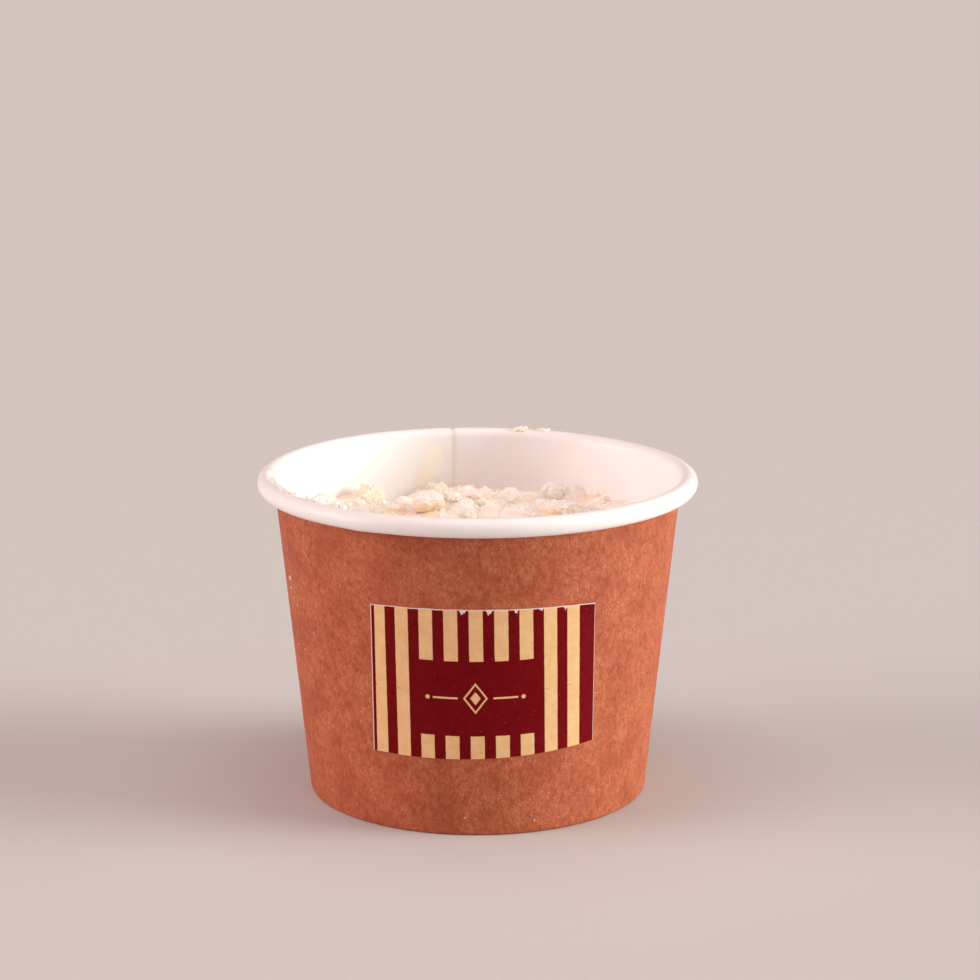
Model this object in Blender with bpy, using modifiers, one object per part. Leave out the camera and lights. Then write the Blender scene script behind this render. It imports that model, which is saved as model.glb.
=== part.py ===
"""A rolled-rim paper dessert cup, filled with spoonable milk brigadeiro under milk powder.

The frame: +Z up, the origin at the centre of the ring that the cup stands on, and -Y towards
the label. Everything is in metres. The cup is paper sheet: one sheet makes the wall, its rolled
rim and its folded foot, and a second one makes the raised base. The sweet fills it almost to the rim.
"""

import math
import random
from dataclasses import dataclass

import bmesh
import bpy
from mathutils import Matrix, Vector, noise

MM = 0.001

# Driving dimensions: the cup
RIM_DIAMETER = 75.0 * MM        # across the rolled rim, outside
BASE_DIAMETER = 58.2 * MM       # across the wall where it meets the table
CUP_HEIGHT = 55.5 * MM          # from the table to the top of the rim
ROLL_DIAMETER = 3.2 * MM        # the rolled rim's own thickness
PAPER = 0.4 * MM                # coated board
GAP = 0.3 * MM                  # play between pieces that touch
WELD = 0.002 * MM               # corners closer than this are one corner
FOOT_HEIGHT = 5.0 * MM          # how far the wall is folded up inside the foot
FOLD_RADIUS = 0.35 * MM         # at the middle of the sheet
ROLL_START = math.radians(180)  # where a straight wall would meet the roll
ROLL_END = math.radians(-128)   # the sheet's free edge, tucked against the wall
SIDES = 60                      # facets around every turned piece
ROLL_STEPS = 10

# Driving dimensions: the glued side seam, at the back
SEAM_ANGLE = math.radians(98)   # from +X, anticlockwise seen from above
SEAM_WIDTH = 8.0 * MM
SEAM_RISE = 0.35 * MM           # how far the overlapping layer stands out

# Driving dimensions: the raised base
BASE_LIFT = 5.8 * MM            # the table to the middle of the base's sheet
SHOULDER_RADIUS = 0.8 * MM

# Driving dimensions: the label, cut by hand
LABEL_WIDTH = 38.7 * MM
LABEL_HEIGHT = 26.1 * MM
LABEL_CENTRE_HEIGHT = 26.8 * MM
LABEL_TURN = math.radians(1.9)  # its middle, round the cup from the front towards +X
LABEL_TILT = math.radians(0.5)
LABEL_TOP_FALL = 0.45 * MM      # how much lower the top edge ends than it starts
LABEL_TOP_BOW = 0.85 * MM       # how far the top edge's ends are cut down from its middle
LABEL_BOTTOM_RISE = 0.9 * MM    # how much higher the bottom edge ends than it starts
LABEL_THICKNESS = 0.2 * MM
LABEL_COLUMNS = 16
LABEL_ROWS = 4

# Driving dimensions: the sweet and what lies on it
FILL_LEVEL = 45.0 * MM          # at the wall
HEAP_HEIGHT = 2.5 * MM
HEAP_CENTRE = Vector((-1.0 * MM, 10.0 * MM))
HEAP_REACH = 15.0 * MM
SCOOP_DEPTH = 2.4 * MM          # the trough that a spoon has left in front of the heap
SCOOP_CENTRE = Vector((2.0 * MM, -1.5 * MM))
SCOOP_REACH = Vector((17.0 * MM, 8.0 * MM))
SCOOP_TURN = math.radians(-12)
SWELL_HEIGHT = 1.1 * MM         # the broad unevenness
SWELL_SPACING = 12.0 * MM
SWELL_LAYER = 3.1               # which slice of the noise gives the swells
CLOD_HEIGHT = 1.5 * MM          # the clods that the powder has set into
CLOD_SPACING = 4.6 * MM
CLOD_LAYER = 8.6
CLOD_CLEFT = 0.75               # distance from a clod's middle to its foot, in spacings
DRIFTS = (                      # where powder is heaped up or lacking: x, y, height and reach in mm
    (-28.5, 17.0, 1.8, 5.5), (-19.8, 23.0, 1.1, 2.6), (-14.8, 27.0, -2.4, 4.0), (-13.5, 17.5, -1.7, 4.0),
    (0.0, 24.0, -0.9, 6.0), (1.0, 15.5, -0.5, 6.0), (-7.0, 30.5, 0.6, 2.5), (8.0, 30.0, -2.6, 5.5),
    (9.8, 21.5, -1.6, 3.5), (16.5, 27.0, 1.3, 3.5), (16.8, 2.2, 1.0, 3.0),
)
TOP_SURFACE_LIMIT = 50.0 * MM   # nothing stands higher than this
SURFACE_CELL = 1.9 * MM
SCATTER_RADIUS = 30.5 * MM
LARGE_LUMP = 3.2 * MM           # a lump has more facets from this size on
LUMP_LIFT = 0.08                # how far its middle lies above the surface, in its own sizes
LUMP_LEAN = 0.5                 # radians, at most
SHRED_WIDTH = 0.6 * MM
SHRED_THICKNESS = 0.45 * MM
SHRED_BEND = (0.4, 1.3)         # radians that a shred curls through, end to end
CURL_PLACE = Vector((16.8 * MM, 2.2 * MM))
CURL_LENGTH = 8.1 * MM          # one long shaving, arched almost to a ring
CURL_BEND = 4.7
CURL_CROWN = 48.9 * MM          # the top of its arch


@dataclass(frozen=True)
class Topping:
    """One kind of piece on the sweet: the few that stand out, then others spread evenly."""

    name: str
    count: int
    smallest: float
    largest: float
    clear: float                # least distance between two middles
    seed: int
    seen: tuple                 # (x, y, size) of those that stand out, in millimetres
    flatness: float = 1.0       # a lump's height, in its widths
    roughening: float = 0.0     # how much a lump's corners are moved in and out

    def pieces(self):
        """(place, size) of each piece, no two closer than `clear`, but for those that stand out."""
        found = [(Vector((x, y)) * MM, size * MM) for x, y, size in self.seen]
        draw = random.Random(self.seed)
        while len(found) < self.count:
            radius = SCATTER_RADIUS * math.sqrt(draw.random())
            turn = draw.uniform(0.0, math.tau)
            place = Vector((radius * math.cos(turn), radius * math.sin(turn)))
            if all((place - other).length > self.clear for other, _ in found):
                found.append((place, draw.uniform(self.smallest, self.largest)))
        return found


CHUNKS = Topping(               # torn pieces of the sweet
    name="chunk", count=9, smallest=3.6 * MM, largest=5.0 * MM, clear=10.0 * MM, seed=11,
    seen=((-8.6, 9.3, 5.2), (-14.3, 8.6, 3.6)), flatness=0.62, roughening=0.10,
)
CLOTS = Topping(                # clots of milk powder
    name="clot", count=60, smallest=1.6 * MM, largest=3.1 * MM, clear=3.4 * MM, seed=12,
    seen=(
        (-1.5, 15.0, 4.2), (5.6, 18.0, 4.0), (8.0, 25.0, 3.0), (13.6, 25.6, 3.8),
        (-19.1, 22.2, 4.6), (-7.3, 30.2, 3.9), (-13.0, 14.6, 3.3),
    ),
    flatness=0.80, roughening=0.16,
)
SHREDS = Topping(               # stiff flakes that stand or lie on the powder
    name="shred", count=15, smallest=2.2 * MM, largest=3.6 * MM, clear=5.0 * MM, seed=13,
    seen=((9.0, 3.2, 3.2), (10.0, 3.9, 3.0), (12.2, 3.4, 2.5)),
)

PARTS = "brigadeiro_cup"
CUTTERS = "cutters"


# ---------------------------------------------------------------- the cup's geometry

ROLL_RADIUS = ROLL_DIAMETER / 2
ROLL_CENTRE = Vector((RIM_DIAMETER / 2 - ROLL_RADIUS, CUP_HEIGHT - ROLL_RADIUS))
ROLL_SHEET_RADIUS = ROLL_RADIUS - PAPER / 2
WALL_FOOT = Vector((BASE_DIAMETER / 2 - PAPER / 2, 0.0))


def wall_slant():
    """The wall's lean from upright: it leaves the foot and runs into the roll without a corner."""
    rise = ROLL_CENTRE - WALL_FOOT
    return math.atan2(rise.x, rise.y) - math.asin(ROLL_SHEET_RADIUS / rise.length)


SLANT = wall_slant()


def sheet_radius(height, inward=0.0):
    """Radius of the middle of the wall's sheet at a height, or of the cone that lies inward of it."""
    return WALL_FOOT.x + height * math.tan(SLANT) - inward


def outer_radius(height):
    """Radius of the wall's outer face at a height."""
    return sheet_radius(height) + PAPER / 2 / math.cos(SLANT)


def arc(centre, radius, start, end, steps):
    """Points along an arc in the (radius, height) plane, ends included."""
    turns = [start + (end - start) * step / steps for step in range(steps + 1)]
    return [centre + radius * Vector((math.cos(turn), math.sin(turn))) for turn in turns]


# ---------------------------------------------------------------- Blender helpers

def clear_scene():
    for item in list(bpy.data.objects):
        bpy.data.objects.remove(item, do_unlink=True)


def new_collection(name):
    collection = bpy.data.collections.new(name)
    bpy.context.scene.collection.children.link(collection)
    return collection


def make_material(name, colour, roughness, metallic=0.0):
    material = bpy.data.materials.new(name)
    material.use_nodes = True
    shader = material.node_tree.nodes["Principled BSDF"]
    shader.inputs["Base Color"].default_value = (*colour, 1.0)
    shader.inputs["Roughness"].default_value = roughness
    shader.inputs["Metallic"].default_value = metallic
    material.diffuse_color = (*colour, 1.0)
    return material


def object_from_bmesh(name, shape, collection, material=None):
    """Store a bmesh as a new object and free it."""
    mesh = bpy.data.meshes.new(name)
    shape.to_mesh(mesh)
    shape.free()
    item = bpy.data.objects.new(name, mesh)
    if material:
        mesh.materials.append(material)
    collection.objects.link(item)
    return item


def turned_sheet(name, profile, collection, material=None, angle=math.tau, steps=SIDES, thickness=PAPER):
    """A sheet turned about Z: the profile is the middle of the sheet, as (radius, height) points."""
    shape = bmesh.new()
    corners = [shape.verts.new((point.x, 0.0, point.y)) for point in profile]
    for first, second in zip(corners, corners[1:]):
        shape.edges.new((first, second))
    item = object_from_bmesh(name, shape, collection, material)

    screw = item.modifiers.new("turn", "SCREW")
    screw.axis = "Z"
    screw.angle = angle
    screw.steps = steps
    screw.render_steps = steps
    screw.use_merge_vertices = True
    screw.merge_threshold = WELD

    sheet = item.modifiers.new("paper", "SOLIDIFY")
    sheet.thickness = thickness
    sheet.offset = 0.0
    sheet.use_even_offset = True
    return item


def freeze(item):
    """Apply every modifier, so that the object's mesh is its final shape."""
    evaluated = item.evaluated_get(bpy.context.evaluated_depsgraph_get())
    mesh = bpy.data.meshes.new_from_object(evaluated)
    item.modifiers.clear()
    item.data = mesh


def union_with_collection(item, collection, solver):
    """Join a collection's objects to the item, apply the join and remove them."""
    join = item.modifiers.new("join", "BOOLEAN")
    join.operation = "UNION"
    join.operand_type = "COLLECTION"
    join.collection = collection
    join.solver = solver
    freeze(item)
    for piece in list(collection.objects):
        bpy.data.objects.remove(piece, do_unlink=True)


def mark_as_cutter(item):
    item.hide_render = True
    item.display_type = "WIRE"


def shade_round(item, degrees=35.0):
    item.data.shade_smooth()
    item.data.set_sharp_from_angle(angle=math.radians(degrees))


# ---------------------------------------------------------------- the cup

def foot_profile():
    """The folded foot, from its free edge inside, down and under the base's flange, to the wall."""
    fold_depth = 2 * (PAPER + GAP)
    floor = PAPER / 2
    bend = floor + FOLD_RADIUS
    inner = Vector((sheet_radius(bend, fold_depth) + FOLD_RADIUS, bend))
    outer = Vector((sheet_radius(bend) - FOLD_RADIUS, bend))
    free_edge = Vector((sheet_radius(FOOT_HEIGHT, fold_depth), FOOT_HEIGHT))
    return [
        free_edge,
        *arc(inner, FOLD_RADIUS, -math.pi, -math.pi / 2, 2),
        *arc(outer, FOLD_RADIUS, -math.pi / 2, 0.0, 2),
    ]


def make_cup_wall(parts, cutters, material):
    """Wall, rolled rim and folded foot: one sheet, with the lap of its side seam at the back."""
    roll = arc(ROLL_CENTRE, ROLL_SHEET_RADIUS, ROLL_START - SLANT, ROLL_END, ROLL_STEPS)
    wall = turned_sheet("cup_wall", foot_profile() + roll, parts, material)
    freeze(wall)

    seam_bottom = PAPER + 2 * FOLD_RADIUS
    seam_top = ROLL_CENTRE.y - ROLL_RADIUS - GAP
    seam_outward = (PAPER / 2 + SEAM_RISE) / 2
    seam = turned_sheet(
        "side_seam",
        [Vector((sheet_radius(height, -seam_outward), height)) for height in (seam_bottom, seam_top)],
        cutters,
        angle=SEAM_WIDTH / outer_radius(CUP_HEIGHT / 2),
        steps=3,
        thickness=2 * seam_outward,
    )
    freeze(seam)
    seam.data.transform(Matrix.Rotation(SEAM_ANGLE, 4, "Z"))
    mark_as_cutter(seam)
    union_with_collection(wall, cutters, "EXACT")
    shade_round(wall)
    return wall


def make_cup_base(parts, material):
    """The raised base: a disc with a flange turned down into the folded foot."""
    flange_inward = PAPER + GAP
    flange_bottom = PAPER + GAP
    bend = BASE_LIFT - SHOULDER_RADIUS
    shoulder = Vector((sheet_radius(bend, flange_inward) - SHOULDER_RADIUS, bend))
    profile = [
        Vector((0.0, BASE_LIFT)),
        *arc(shoulder, SHOULDER_RADIUS, math.pi / 2, 0.0, 3),
        Vector((sheet_radius(flange_bottom, flange_inward), flange_bottom)),
    ]
    base = turned_sheet("cup_base", profile, parts, material)
    freeze(base)
    shade_round(base)
    return base


# ---------------------------------------------------------------- the label

def wrap_on_wall(across, up):
    """Where a point of a flat label lands once the label is pressed on the tapered wall.

    The unrolled wall is a sector of a circle about the cone's apex, so the label's straight
    edges climb a little towards its corners, and none of it is stretched.
    """
    turned = Matrix.Rotation(LABEL_TILT, 2) @ Vector((across, up))
    stand_off = GAP + LABEL_THICKNESS / 2
    centre_distance = (outer_radius(LABEL_CENTRE_HEIGHT) + stand_off) / math.sin(SLANT)
    flat = Vector((turned.x, centre_distance + turned.y))
    round_cup = math.atan2(flat.x, flat.y) / math.sin(SLANT) + LABEL_TURN
    radius = flat.length * math.sin(SLANT)
    height = LABEL_CENTRE_HEIGHT + (flat.length - centre_distance) * math.cos(SLANT)
    return Vector((radius * math.sin(round_cup), -radius * math.cos(round_cup), height))


def make_label(parts, material):
    shape = bmesh.new()
    bmesh.ops.create_grid(shape, x_segments=LABEL_COLUMNS, y_segments=LABEL_ROWS, size=0.5)
    for corner in shape.verts:
        along, up = corner.co.x, corner.co.y + 0.5
        top_edge = LABEL_HEIGHT / 2 - LABEL_TOP_FALL * along - LABEL_TOP_BOW * (2 * along) ** 2
        bottom_edge = -LABEL_HEIGHT / 2 + LABEL_BOTTOM_RISE * along
        corner.co = wrap_on_wall(along * LABEL_WIDTH, bottom_edge + (top_edge - bottom_edge) * up)
    label = object_from_bmesh("label", shape, parts, material)
    sheet = label.modifiers.new("paper", "SOLIDIFY")
    sheet.thickness = LABEL_THICKNESS
    sheet.offset = 0.0
    freeze(label)
    return label


# ---------------------------------------------------------------- the sweet

def rolling(x, y, spacing, layer):
    """Smooth noise between about -1 and 1, whose swells are about `spacing` apart."""
    return noise.noise(Vector((x / spacing, y / spacing, layer)), noise_basis="PERLIN_NEW")


def domed(x, y, spacing, layer):
    """Rounded clods about `spacing` apart, from 0 in the clefts between them to 1 on their tops."""
    nearest = noise.voronoi(Vector((x / spacing, y / spacing, layer)))[0][0]
    return max(0.0, 1.0 - (nearest / CLOD_CLEFT) ** 2)


def surface_height(x, y):
    """Height of the sweet's surface: heaped behind the middle, scooped before it, and clotted."""
    place = Vector((x, y))
    from_heap = (place - HEAP_CENTRE).length / HEAP_REACH
    heap = HEAP_HEIGHT * math.exp(-from_heap * from_heap)
    in_scoop = Matrix.Rotation(-SCOOP_TURN, 2) @ (place - SCOOP_CENTRE)
    from_scoop = Vector((in_scoop.x / SCOOP_REACH.x, in_scoop.y / SCOOP_REACH.y)).length
    scoop = SCOOP_DEPTH * math.exp(-from_scoop**4)
    swell = SWELL_HEIGHT * rolling(x, y, SWELL_SPACING, SWELL_LAYER)
    clods = CLOD_HEIGHT * (domed(x, y, CLOD_SPACING, CLOD_LAYER) - 0.5)
    drifts = sum(
        height * MM * math.exp(-((x - across * MM) ** 2 + (y - back * MM) ** 2) / (reach * MM) ** 2)
        for across, back, height, reach in DRIFTS
    )
    return FILL_LEVEL + heap - scoop + swell + clods + drifts


def make_filling(parts, cutters, material):
    """The sweet's body: what fills the cup, trimmed along its uneven surface."""
    bottom = BASE_LIFT + PAPER / 2 + GAP
    top = CUP_HEIGHT
    inward = PAPER / 2 / math.cos(SLANT) + GAP
    shape = bmesh.new()
    bmesh.ops.create_cone(
        shape,
        cap_ends=True,
        segments=SIDES,
        radius1=sheet_radius(bottom, inward),
        radius2=sheet_radius(top, inward),
        depth=top - bottom,
        matrix=Matrix.Translation((0.0, 0.0, (top + bottom) / 2)),
    )
    filling = object_from_bmesh("brigadeiro", shape, parts, material)

    side = RIM_DIAMETER
    cells = round(side / SURFACE_CELL)
    shape = bmesh.new()
    bmesh.ops.create_grid(shape, x_segments=cells, y_segments=cells, size=side / 2)
    for corner in shape.verts:
        corner.co.z = surface_height(corner.co.x, corner.co.y)
    lid = bmesh.ops.extrude_face_region(shape, geom=shape.faces[:])
    for corner in (item for item in lid["geom"] if isinstance(item, bmesh.types.BMVert)):
        corner.co.z = 2 * CUP_HEIGHT
    bmesh.ops.recalc_face_normals(shape, faces=shape.faces)
    above = object_from_bmesh("air_above", shape, cutters)
    mark_as_cutter(above)

    trim = filling.modifiers.new("trim", "BOOLEAN")
    trim.operation = "DIFFERENCE"
    trim.object = above
    freeze(filling)
    bpy.data.objects.remove(above, do_unlink=True)
    return filling


def seat(place, lift=0.0):
    """The point of the surface at a place, or the one that lies `lift` above it."""
    return Vector((place.x, place.y, surface_height(place.x, place.y) + lift))


def add_lump(name, draw, topping, place, size, cutters):
    """A rough rounded lump, half sunk in the surface; a large one has more facets."""
    shape = bmesh.new()
    detail = 2 if size >= LARGE_LUMP else 1
    bmesh.ops.create_icosphere(shape, subdivisions=detail, radius=size / 2)
    turn = Matrix.Rotation(draw.uniform(0.0, math.tau), 3, "Z")
    lean = Matrix.Rotation(draw.uniform(-LUMP_LEAN, LUMP_LEAN), 3, "X")
    centre = seat(place, LUMP_LIFT * size)
    for corner in shape.verts:
        corner.co *= 1.0 + draw.uniform(-topping.roughening, topping.roughening)
        corner.co.z *= topping.flatness
        corner.co = turn @ lean @ corner.co + centre
        corner.co.z = min(corner.co.z, TOP_SURFACE_LIMIT)
    mark_as_cutter(object_from_bmesh(name, shape, cutters))


def add_shred(name, place, length, bend, turn, cutters, crown=None):
    """A bent flake: a narrow strip that curls up out of the surface, or arches over it to `crown`."""
    shape = bmesh.new()
    bmesh.ops.create_cube(shape, size=1.0)
    lengthwise = [edge for edge in shape.edges if abs(edge.verts[0].co.x - edge.verts[1].co.x) > 0.5]
    bmesh.ops.subdivide_edges(shape, edges=lengthwise, cuts=1 + round(1.5 * bend))
    swing = Matrix.Rotation(turn, 3, "Z")
    bend_radius = length / bend
    centre = seat(place)
    for corner in shape.verts:
        along = corner.co.x * bend
        reach = bend_radius - corner.co.z * SHRED_THICKNESS
        bent = Vector(
            (reach * math.sin(along), corner.co.y * SHRED_WIDTH, bend_radius - reach * math.cos(along))
        )
        corner.co = swing @ bent + centre
        if crown is not None:
            corner.co.z = crown - bent.z
        corner.co.z = min(corner.co.z, TOP_SURFACE_LIMIT)
    bmesh.ops.recalc_face_normals(shape, faces=shape.faces)
    mark_as_cutter(object_from_bmesh(name, shape, cutters))


def keep_largest_body(item):
    """Weld slivers, and drop loose scraps and sealed hollows, which are separate islands of faces."""
    shape = bmesh.new()
    shape.from_mesh(item.data)
    bmesh.ops.remove_doubles(shape, verts=shape.verts, dist=WELD)
    bmesh.ops.dissolve_degenerate(shape, edges=shape.edges, dist=WELD)
    unseen = set(shape.faces)
    islands = []
    while unseen:
        island = [unseen.pop()]
        for face in island:
            for edge in face.edges:
                for neighbour in edge.link_faces:
                    if neighbour in unseen:
                        unseen.remove(neighbour)
                        island.append(neighbour)
        islands.append(island)
    islands.sort(key=len)
    for island in islands[:-1]:
        bmesh.ops.delete(shape, geom=island, context="FACES")
    shape.to_mesh(item.data)
    shape.free()


def make_brigadeiro(parts, cutters, material):
    """The sweet with its torn chunks, powder clots and flakes joined to it."""
    filling = make_filling(parts, cutters, material)
    for topping in (CHUNKS, CLOTS):
        draw = random.Random(topping.seed)
        for index, (place, size) in enumerate(topping.pieces()):
            add_lump(f"{topping.name}_{index}", draw, topping, place, size, cutters)
    draw = random.Random(SHREDS.seed)
    for index, (place, length) in enumerate(SHREDS.pieces()):
        bend, turn = draw.uniform(*SHRED_BEND), draw.uniform(0.0, math.tau)
        add_shred(f"{SHREDS.name}_{index}", place, length, bend, turn, cutters)
    add_shred("curl", CURL_PLACE, CURL_LENGTH, CURL_BEND, 0.0, cutters, CURL_CROWN)
    union_with_collection(filling, cutters, "MANIFOLD")
    keep_largest_body(filling)
    return filling


def main():
    clear_scene()
    parts = new_collection(PARTS)
    cutters = new_collection(CUTTERS)

    kraft = make_material("kraft_board", (0.50, 0.17, 0.10), 0.75)
    white = make_material("white_board", (0.90, 0.82, 0.78), 0.45)
    print_ink = make_material("label_print", (0.16, 0.008, 0.010), 0.5)
    milk_sweet = make_material("brigadeiro_cream", (0.92, 0.80, 0.66), 0.6)

    make_cup_wall(parts, cutters, kraft)
    make_cup_base(parts, white)
    make_label(parts, print_ink)
    make_brigadeiro(parts, cutters, milk_sweet)
    bpy.data.collections.remove(cutters)


main()
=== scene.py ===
"""The looks of a rolled-rim paper dessert cup, filled with milk brigadeiro under milk powder.

Everything is in metres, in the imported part's frame: +Z up, -Y towards the label, the origin at the
centre of the ring that the cup stands on. Azimuths run anticlockwise from +X, seen from above.
Each class makes one sub-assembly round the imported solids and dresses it: the paper cup, its label,
the sweet, the loose powder, and the studio.
"""

import logging
import math
import random
from collections.abc import Callable, Iterable, Sequence
from dataclasses import dataclass, field
from enum import Enum
from functools import cache
from typing import Any

import bmesh
import bpy
from mathutils import Matrix, Vector, noise


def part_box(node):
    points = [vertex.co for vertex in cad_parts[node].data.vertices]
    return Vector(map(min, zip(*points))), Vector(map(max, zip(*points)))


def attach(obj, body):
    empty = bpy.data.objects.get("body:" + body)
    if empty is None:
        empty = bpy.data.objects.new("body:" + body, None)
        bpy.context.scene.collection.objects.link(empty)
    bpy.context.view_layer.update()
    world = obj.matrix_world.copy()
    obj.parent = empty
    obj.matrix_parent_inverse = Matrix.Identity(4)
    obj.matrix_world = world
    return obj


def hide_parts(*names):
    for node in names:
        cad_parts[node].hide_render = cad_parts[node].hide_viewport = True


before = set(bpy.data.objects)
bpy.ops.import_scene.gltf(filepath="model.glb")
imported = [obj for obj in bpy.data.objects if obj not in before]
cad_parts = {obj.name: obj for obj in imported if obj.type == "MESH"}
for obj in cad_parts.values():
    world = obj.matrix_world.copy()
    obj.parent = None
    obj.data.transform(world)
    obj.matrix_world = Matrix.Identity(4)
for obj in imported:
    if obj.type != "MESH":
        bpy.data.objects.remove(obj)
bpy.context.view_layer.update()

MM = 0.001
BODY = "root"
FRONT = -math.pi / 2
LOG = logging.getLogger("dessert_cup")

Colour = tuple[float, float, float, float]


class Slot(Enum):
    """The record's material slots."""

    KRAFT = "kraft_board"
    WHITE = "white_board"
    LABEL = "label_print"
    SWEET = "brigadeiro_cream"
    POWDER = "milk_powder"


def rgb(red: float, green: float, blue: float) -> Colour:
    """Return an opaque colour, in linear values."""
    return (red, green, blue, 1.0)


def smooth(share: float) -> float:
    """Return a share, held between 0 and 1, with a smooth start and end."""
    share = min(max(share, 0.0), 1.0)
    return share * share * (3.0 - 2.0 * share)


# ---------------------------------------------------------------- node writing


class Value:
    """A socket of a node tree, which Python's operators read as a number."""

    def __init__(self, nodes: "Nodes", socket: bpy.types.NodeSocket) -> None:
        """Wrap a socket of a tree."""
        self.nodes = nodes
        self.socket = socket

    def math(self, operation: str, *terms: "Value | float") -> "Value":
        """Return what a Math node makes of the terms."""
        return self.nodes.add("ShaderNodeMath", {"operation": operation}, dict(enumerate(terms)))

    def __add__(self, other: "Value | float") -> "Value":
        """Return the sum."""
        return self.math("ADD", self, other)

    __radd__ = __add__

    def __sub__(self, other: "Value | float") -> "Value":
        """Return the difference."""
        return self.math("SUBTRACT", self, other)

    def __rsub__(self, other: "Value | float") -> "Value":
        """Return the difference, with this value taken away."""
        return self.math("SUBTRACT", other, self)

    def __mul__(self, other: "Value | float") -> "Value":
        """Return the product."""
        return self.math("MULTIPLY", self, other)

    __rmul__ = __mul__

    def __truediv__(self, other: "Value | float") -> "Value":
        """Return the quotient."""
        return self.math("DIVIDE", self, other)

    def __pow__(self, other: "Value | float") -> "Value":
        """Return the power."""
        return self.math("POWER", self, other)

    def __abs__(self) -> "Value":
        """Return the size without its sign."""
        return self.math("ABSOLUTE", self)

    def fraction(self) -> "Value":
        """Return what is left over the whole number below."""
        return self.math("FRACT", self)

    def largest(self, other: "Value | float") -> "Value":
        """Return the larger of the two."""
        return self.math("MAXIMUM", self, other)

    def rise(self, low: float, high: float) -> "Value":
        """Return 0 below `low`, 1 above `high` and a smooth ramp between them."""
        inputs = {"Value": self, "From Min": low, "From Max": high}
        return self.nodes.add("ShaderNodeMapRange", {"interpolation_type": "SMOOTHSTEP"}, inputs)

    def other(self, output: str | int) -> "Value":
        """Return another output of the same node."""
        return Value(self.nodes, self.socket.node.outputs[output])


class Nodes:
    """A node tree, of a material or of Geometry Nodes, that is filled one node at a time."""

    def __init__(self, tree: bpy.types.NodeTree) -> None:
        """Empty a tree, to fill it anew."""
        self.tree = tree
        tree.nodes.clear()

    def add(
        self,
        kind: str,
        settings: dict[str, Any] | None = None,
        inputs: dict[str | int, Any] | None = None,
        output: str | int = 0,
    ) -> Value:
        """Add one node.

        Args:
            kind: The node's type.
            settings: Its properties, which are set first.
            inputs: A value, or another node's Value, for each socket named or counted.
            output: Which output is returned.

        Returns:
            The output, or the first input of a node that has no outputs.
        """
        node = self.tree.nodes.new(kind)
        for name, setting in (settings or {}).items():
            setattr(node, name, setting)
        for name, given in (inputs or {}).items():
            if isinstance(given, Value):
                self.tree.links.new(given.socket, node.inputs[name])
            else:
                node.inputs[name].default_value = given
        return Value(self, node.outputs[output] if len(node.outputs) else node.inputs[0])

    def mix(self, share: Value | float, first: Value | Colour, second: Value | Colour) -> Value:
        """Return two colours mixed, the second by its share."""
        return self.add("ShaderNodeMix", {"data_type": "RGBA"}, {0: share, 6: first, 7: second}, 2)

    def noise(
        self, place: Value, scale: float, detail: float = 2.0, roughness: float = 0.5
    ) -> Value:
        """Return smooth noise about 0.5, with `scale` swells to the metre."""
        inputs = {"Vector": place, "Scale": scale, "Detail": detail, "Roughness": roughness}
        return self.add("ShaderNodeTexNoise", None, inputs)

    def attribute(self, name: str) -> Value:
        """Return a material's mesh attribute as a vector."""
        return self.add("ShaderNodeAttribute", {"attribute_name": name}, output="Vector")

    def strength(self, name: str) -> Value:
        """Return a material's mesh attribute as a number."""
        return self.add("ShaderNodeAttribute", {"attribute_name": name}, output="Fac")

    def object_place(self) -> Value:
        """Return the point's place in the part's frame."""
        return self.add("ShaderNodeTexCoord", output="Object")

    def mapped(self, place: Value, turn: float, size: tuple[float, float, float]) -> Value:
        """Return a place turned about Z and measured in steps of a size along each axis."""
        inputs = {"Vector": place, "Rotation": (0.0, 0.0, turn), "Scale": size}
        return self.add("ShaderNodeMapping", {"vector_type": "TEXTURE"}, inputs)

    def split(self, vector: Value) -> tuple[Value, Value, Value]:
        """Return a vector's three parts."""
        first = self.add("ShaderNodeSeparateXYZ", None, {0: vector})
        return first, first.other(1), first.other(2)

    def bump(self, height: Value, depth: float, strength: float = 1.0) -> Value:
        """Return a normal tilted by a height that runs from 0 to 1 over a depth in metres."""
        inputs = {"Height": height, "Distance": depth, "Strength": strength}
        return self.add("ShaderNodeBump", None, inputs)

    def scaled(self, vector: Value, factor: Value | float) -> Value:
        """Return a vector times a number."""
        return self.add("ShaderNodeVectorMath", {"operation": "SCALE"}, {0: vector, 3: factor})

    def vectors(
        self, operation: str, first: Value, second: Value | tuple[float, float, float]
    ) -> Value:
        """Return what a Vector Math node makes of two vectors."""
        return self.add("ShaderNodeVectorMath", {"operation": operation}, {0: first, 1: second})

    def draw(self, kind: str, low: Any, high: Any, seed: Value) -> Value:
        """Return a random value for each element, of kind FLOAT or FLOAT_VECTOR.

        Args:
            kind: What is drawn.
            low: The least that is drawn.
            high: The most that is drawn.
            seed: What tells one draw from another.

        Returns:
            The random value.
        """
        first, output = {"FLOAT_VECTOR": (0, 0), "FLOAT": (2, 1)}[kind]
        inputs = {first: low, first + 1: high, 8: seed}
        return self.add("FunctionNodeRandomValue", {"data_type": kind}, inputs, output)


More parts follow.
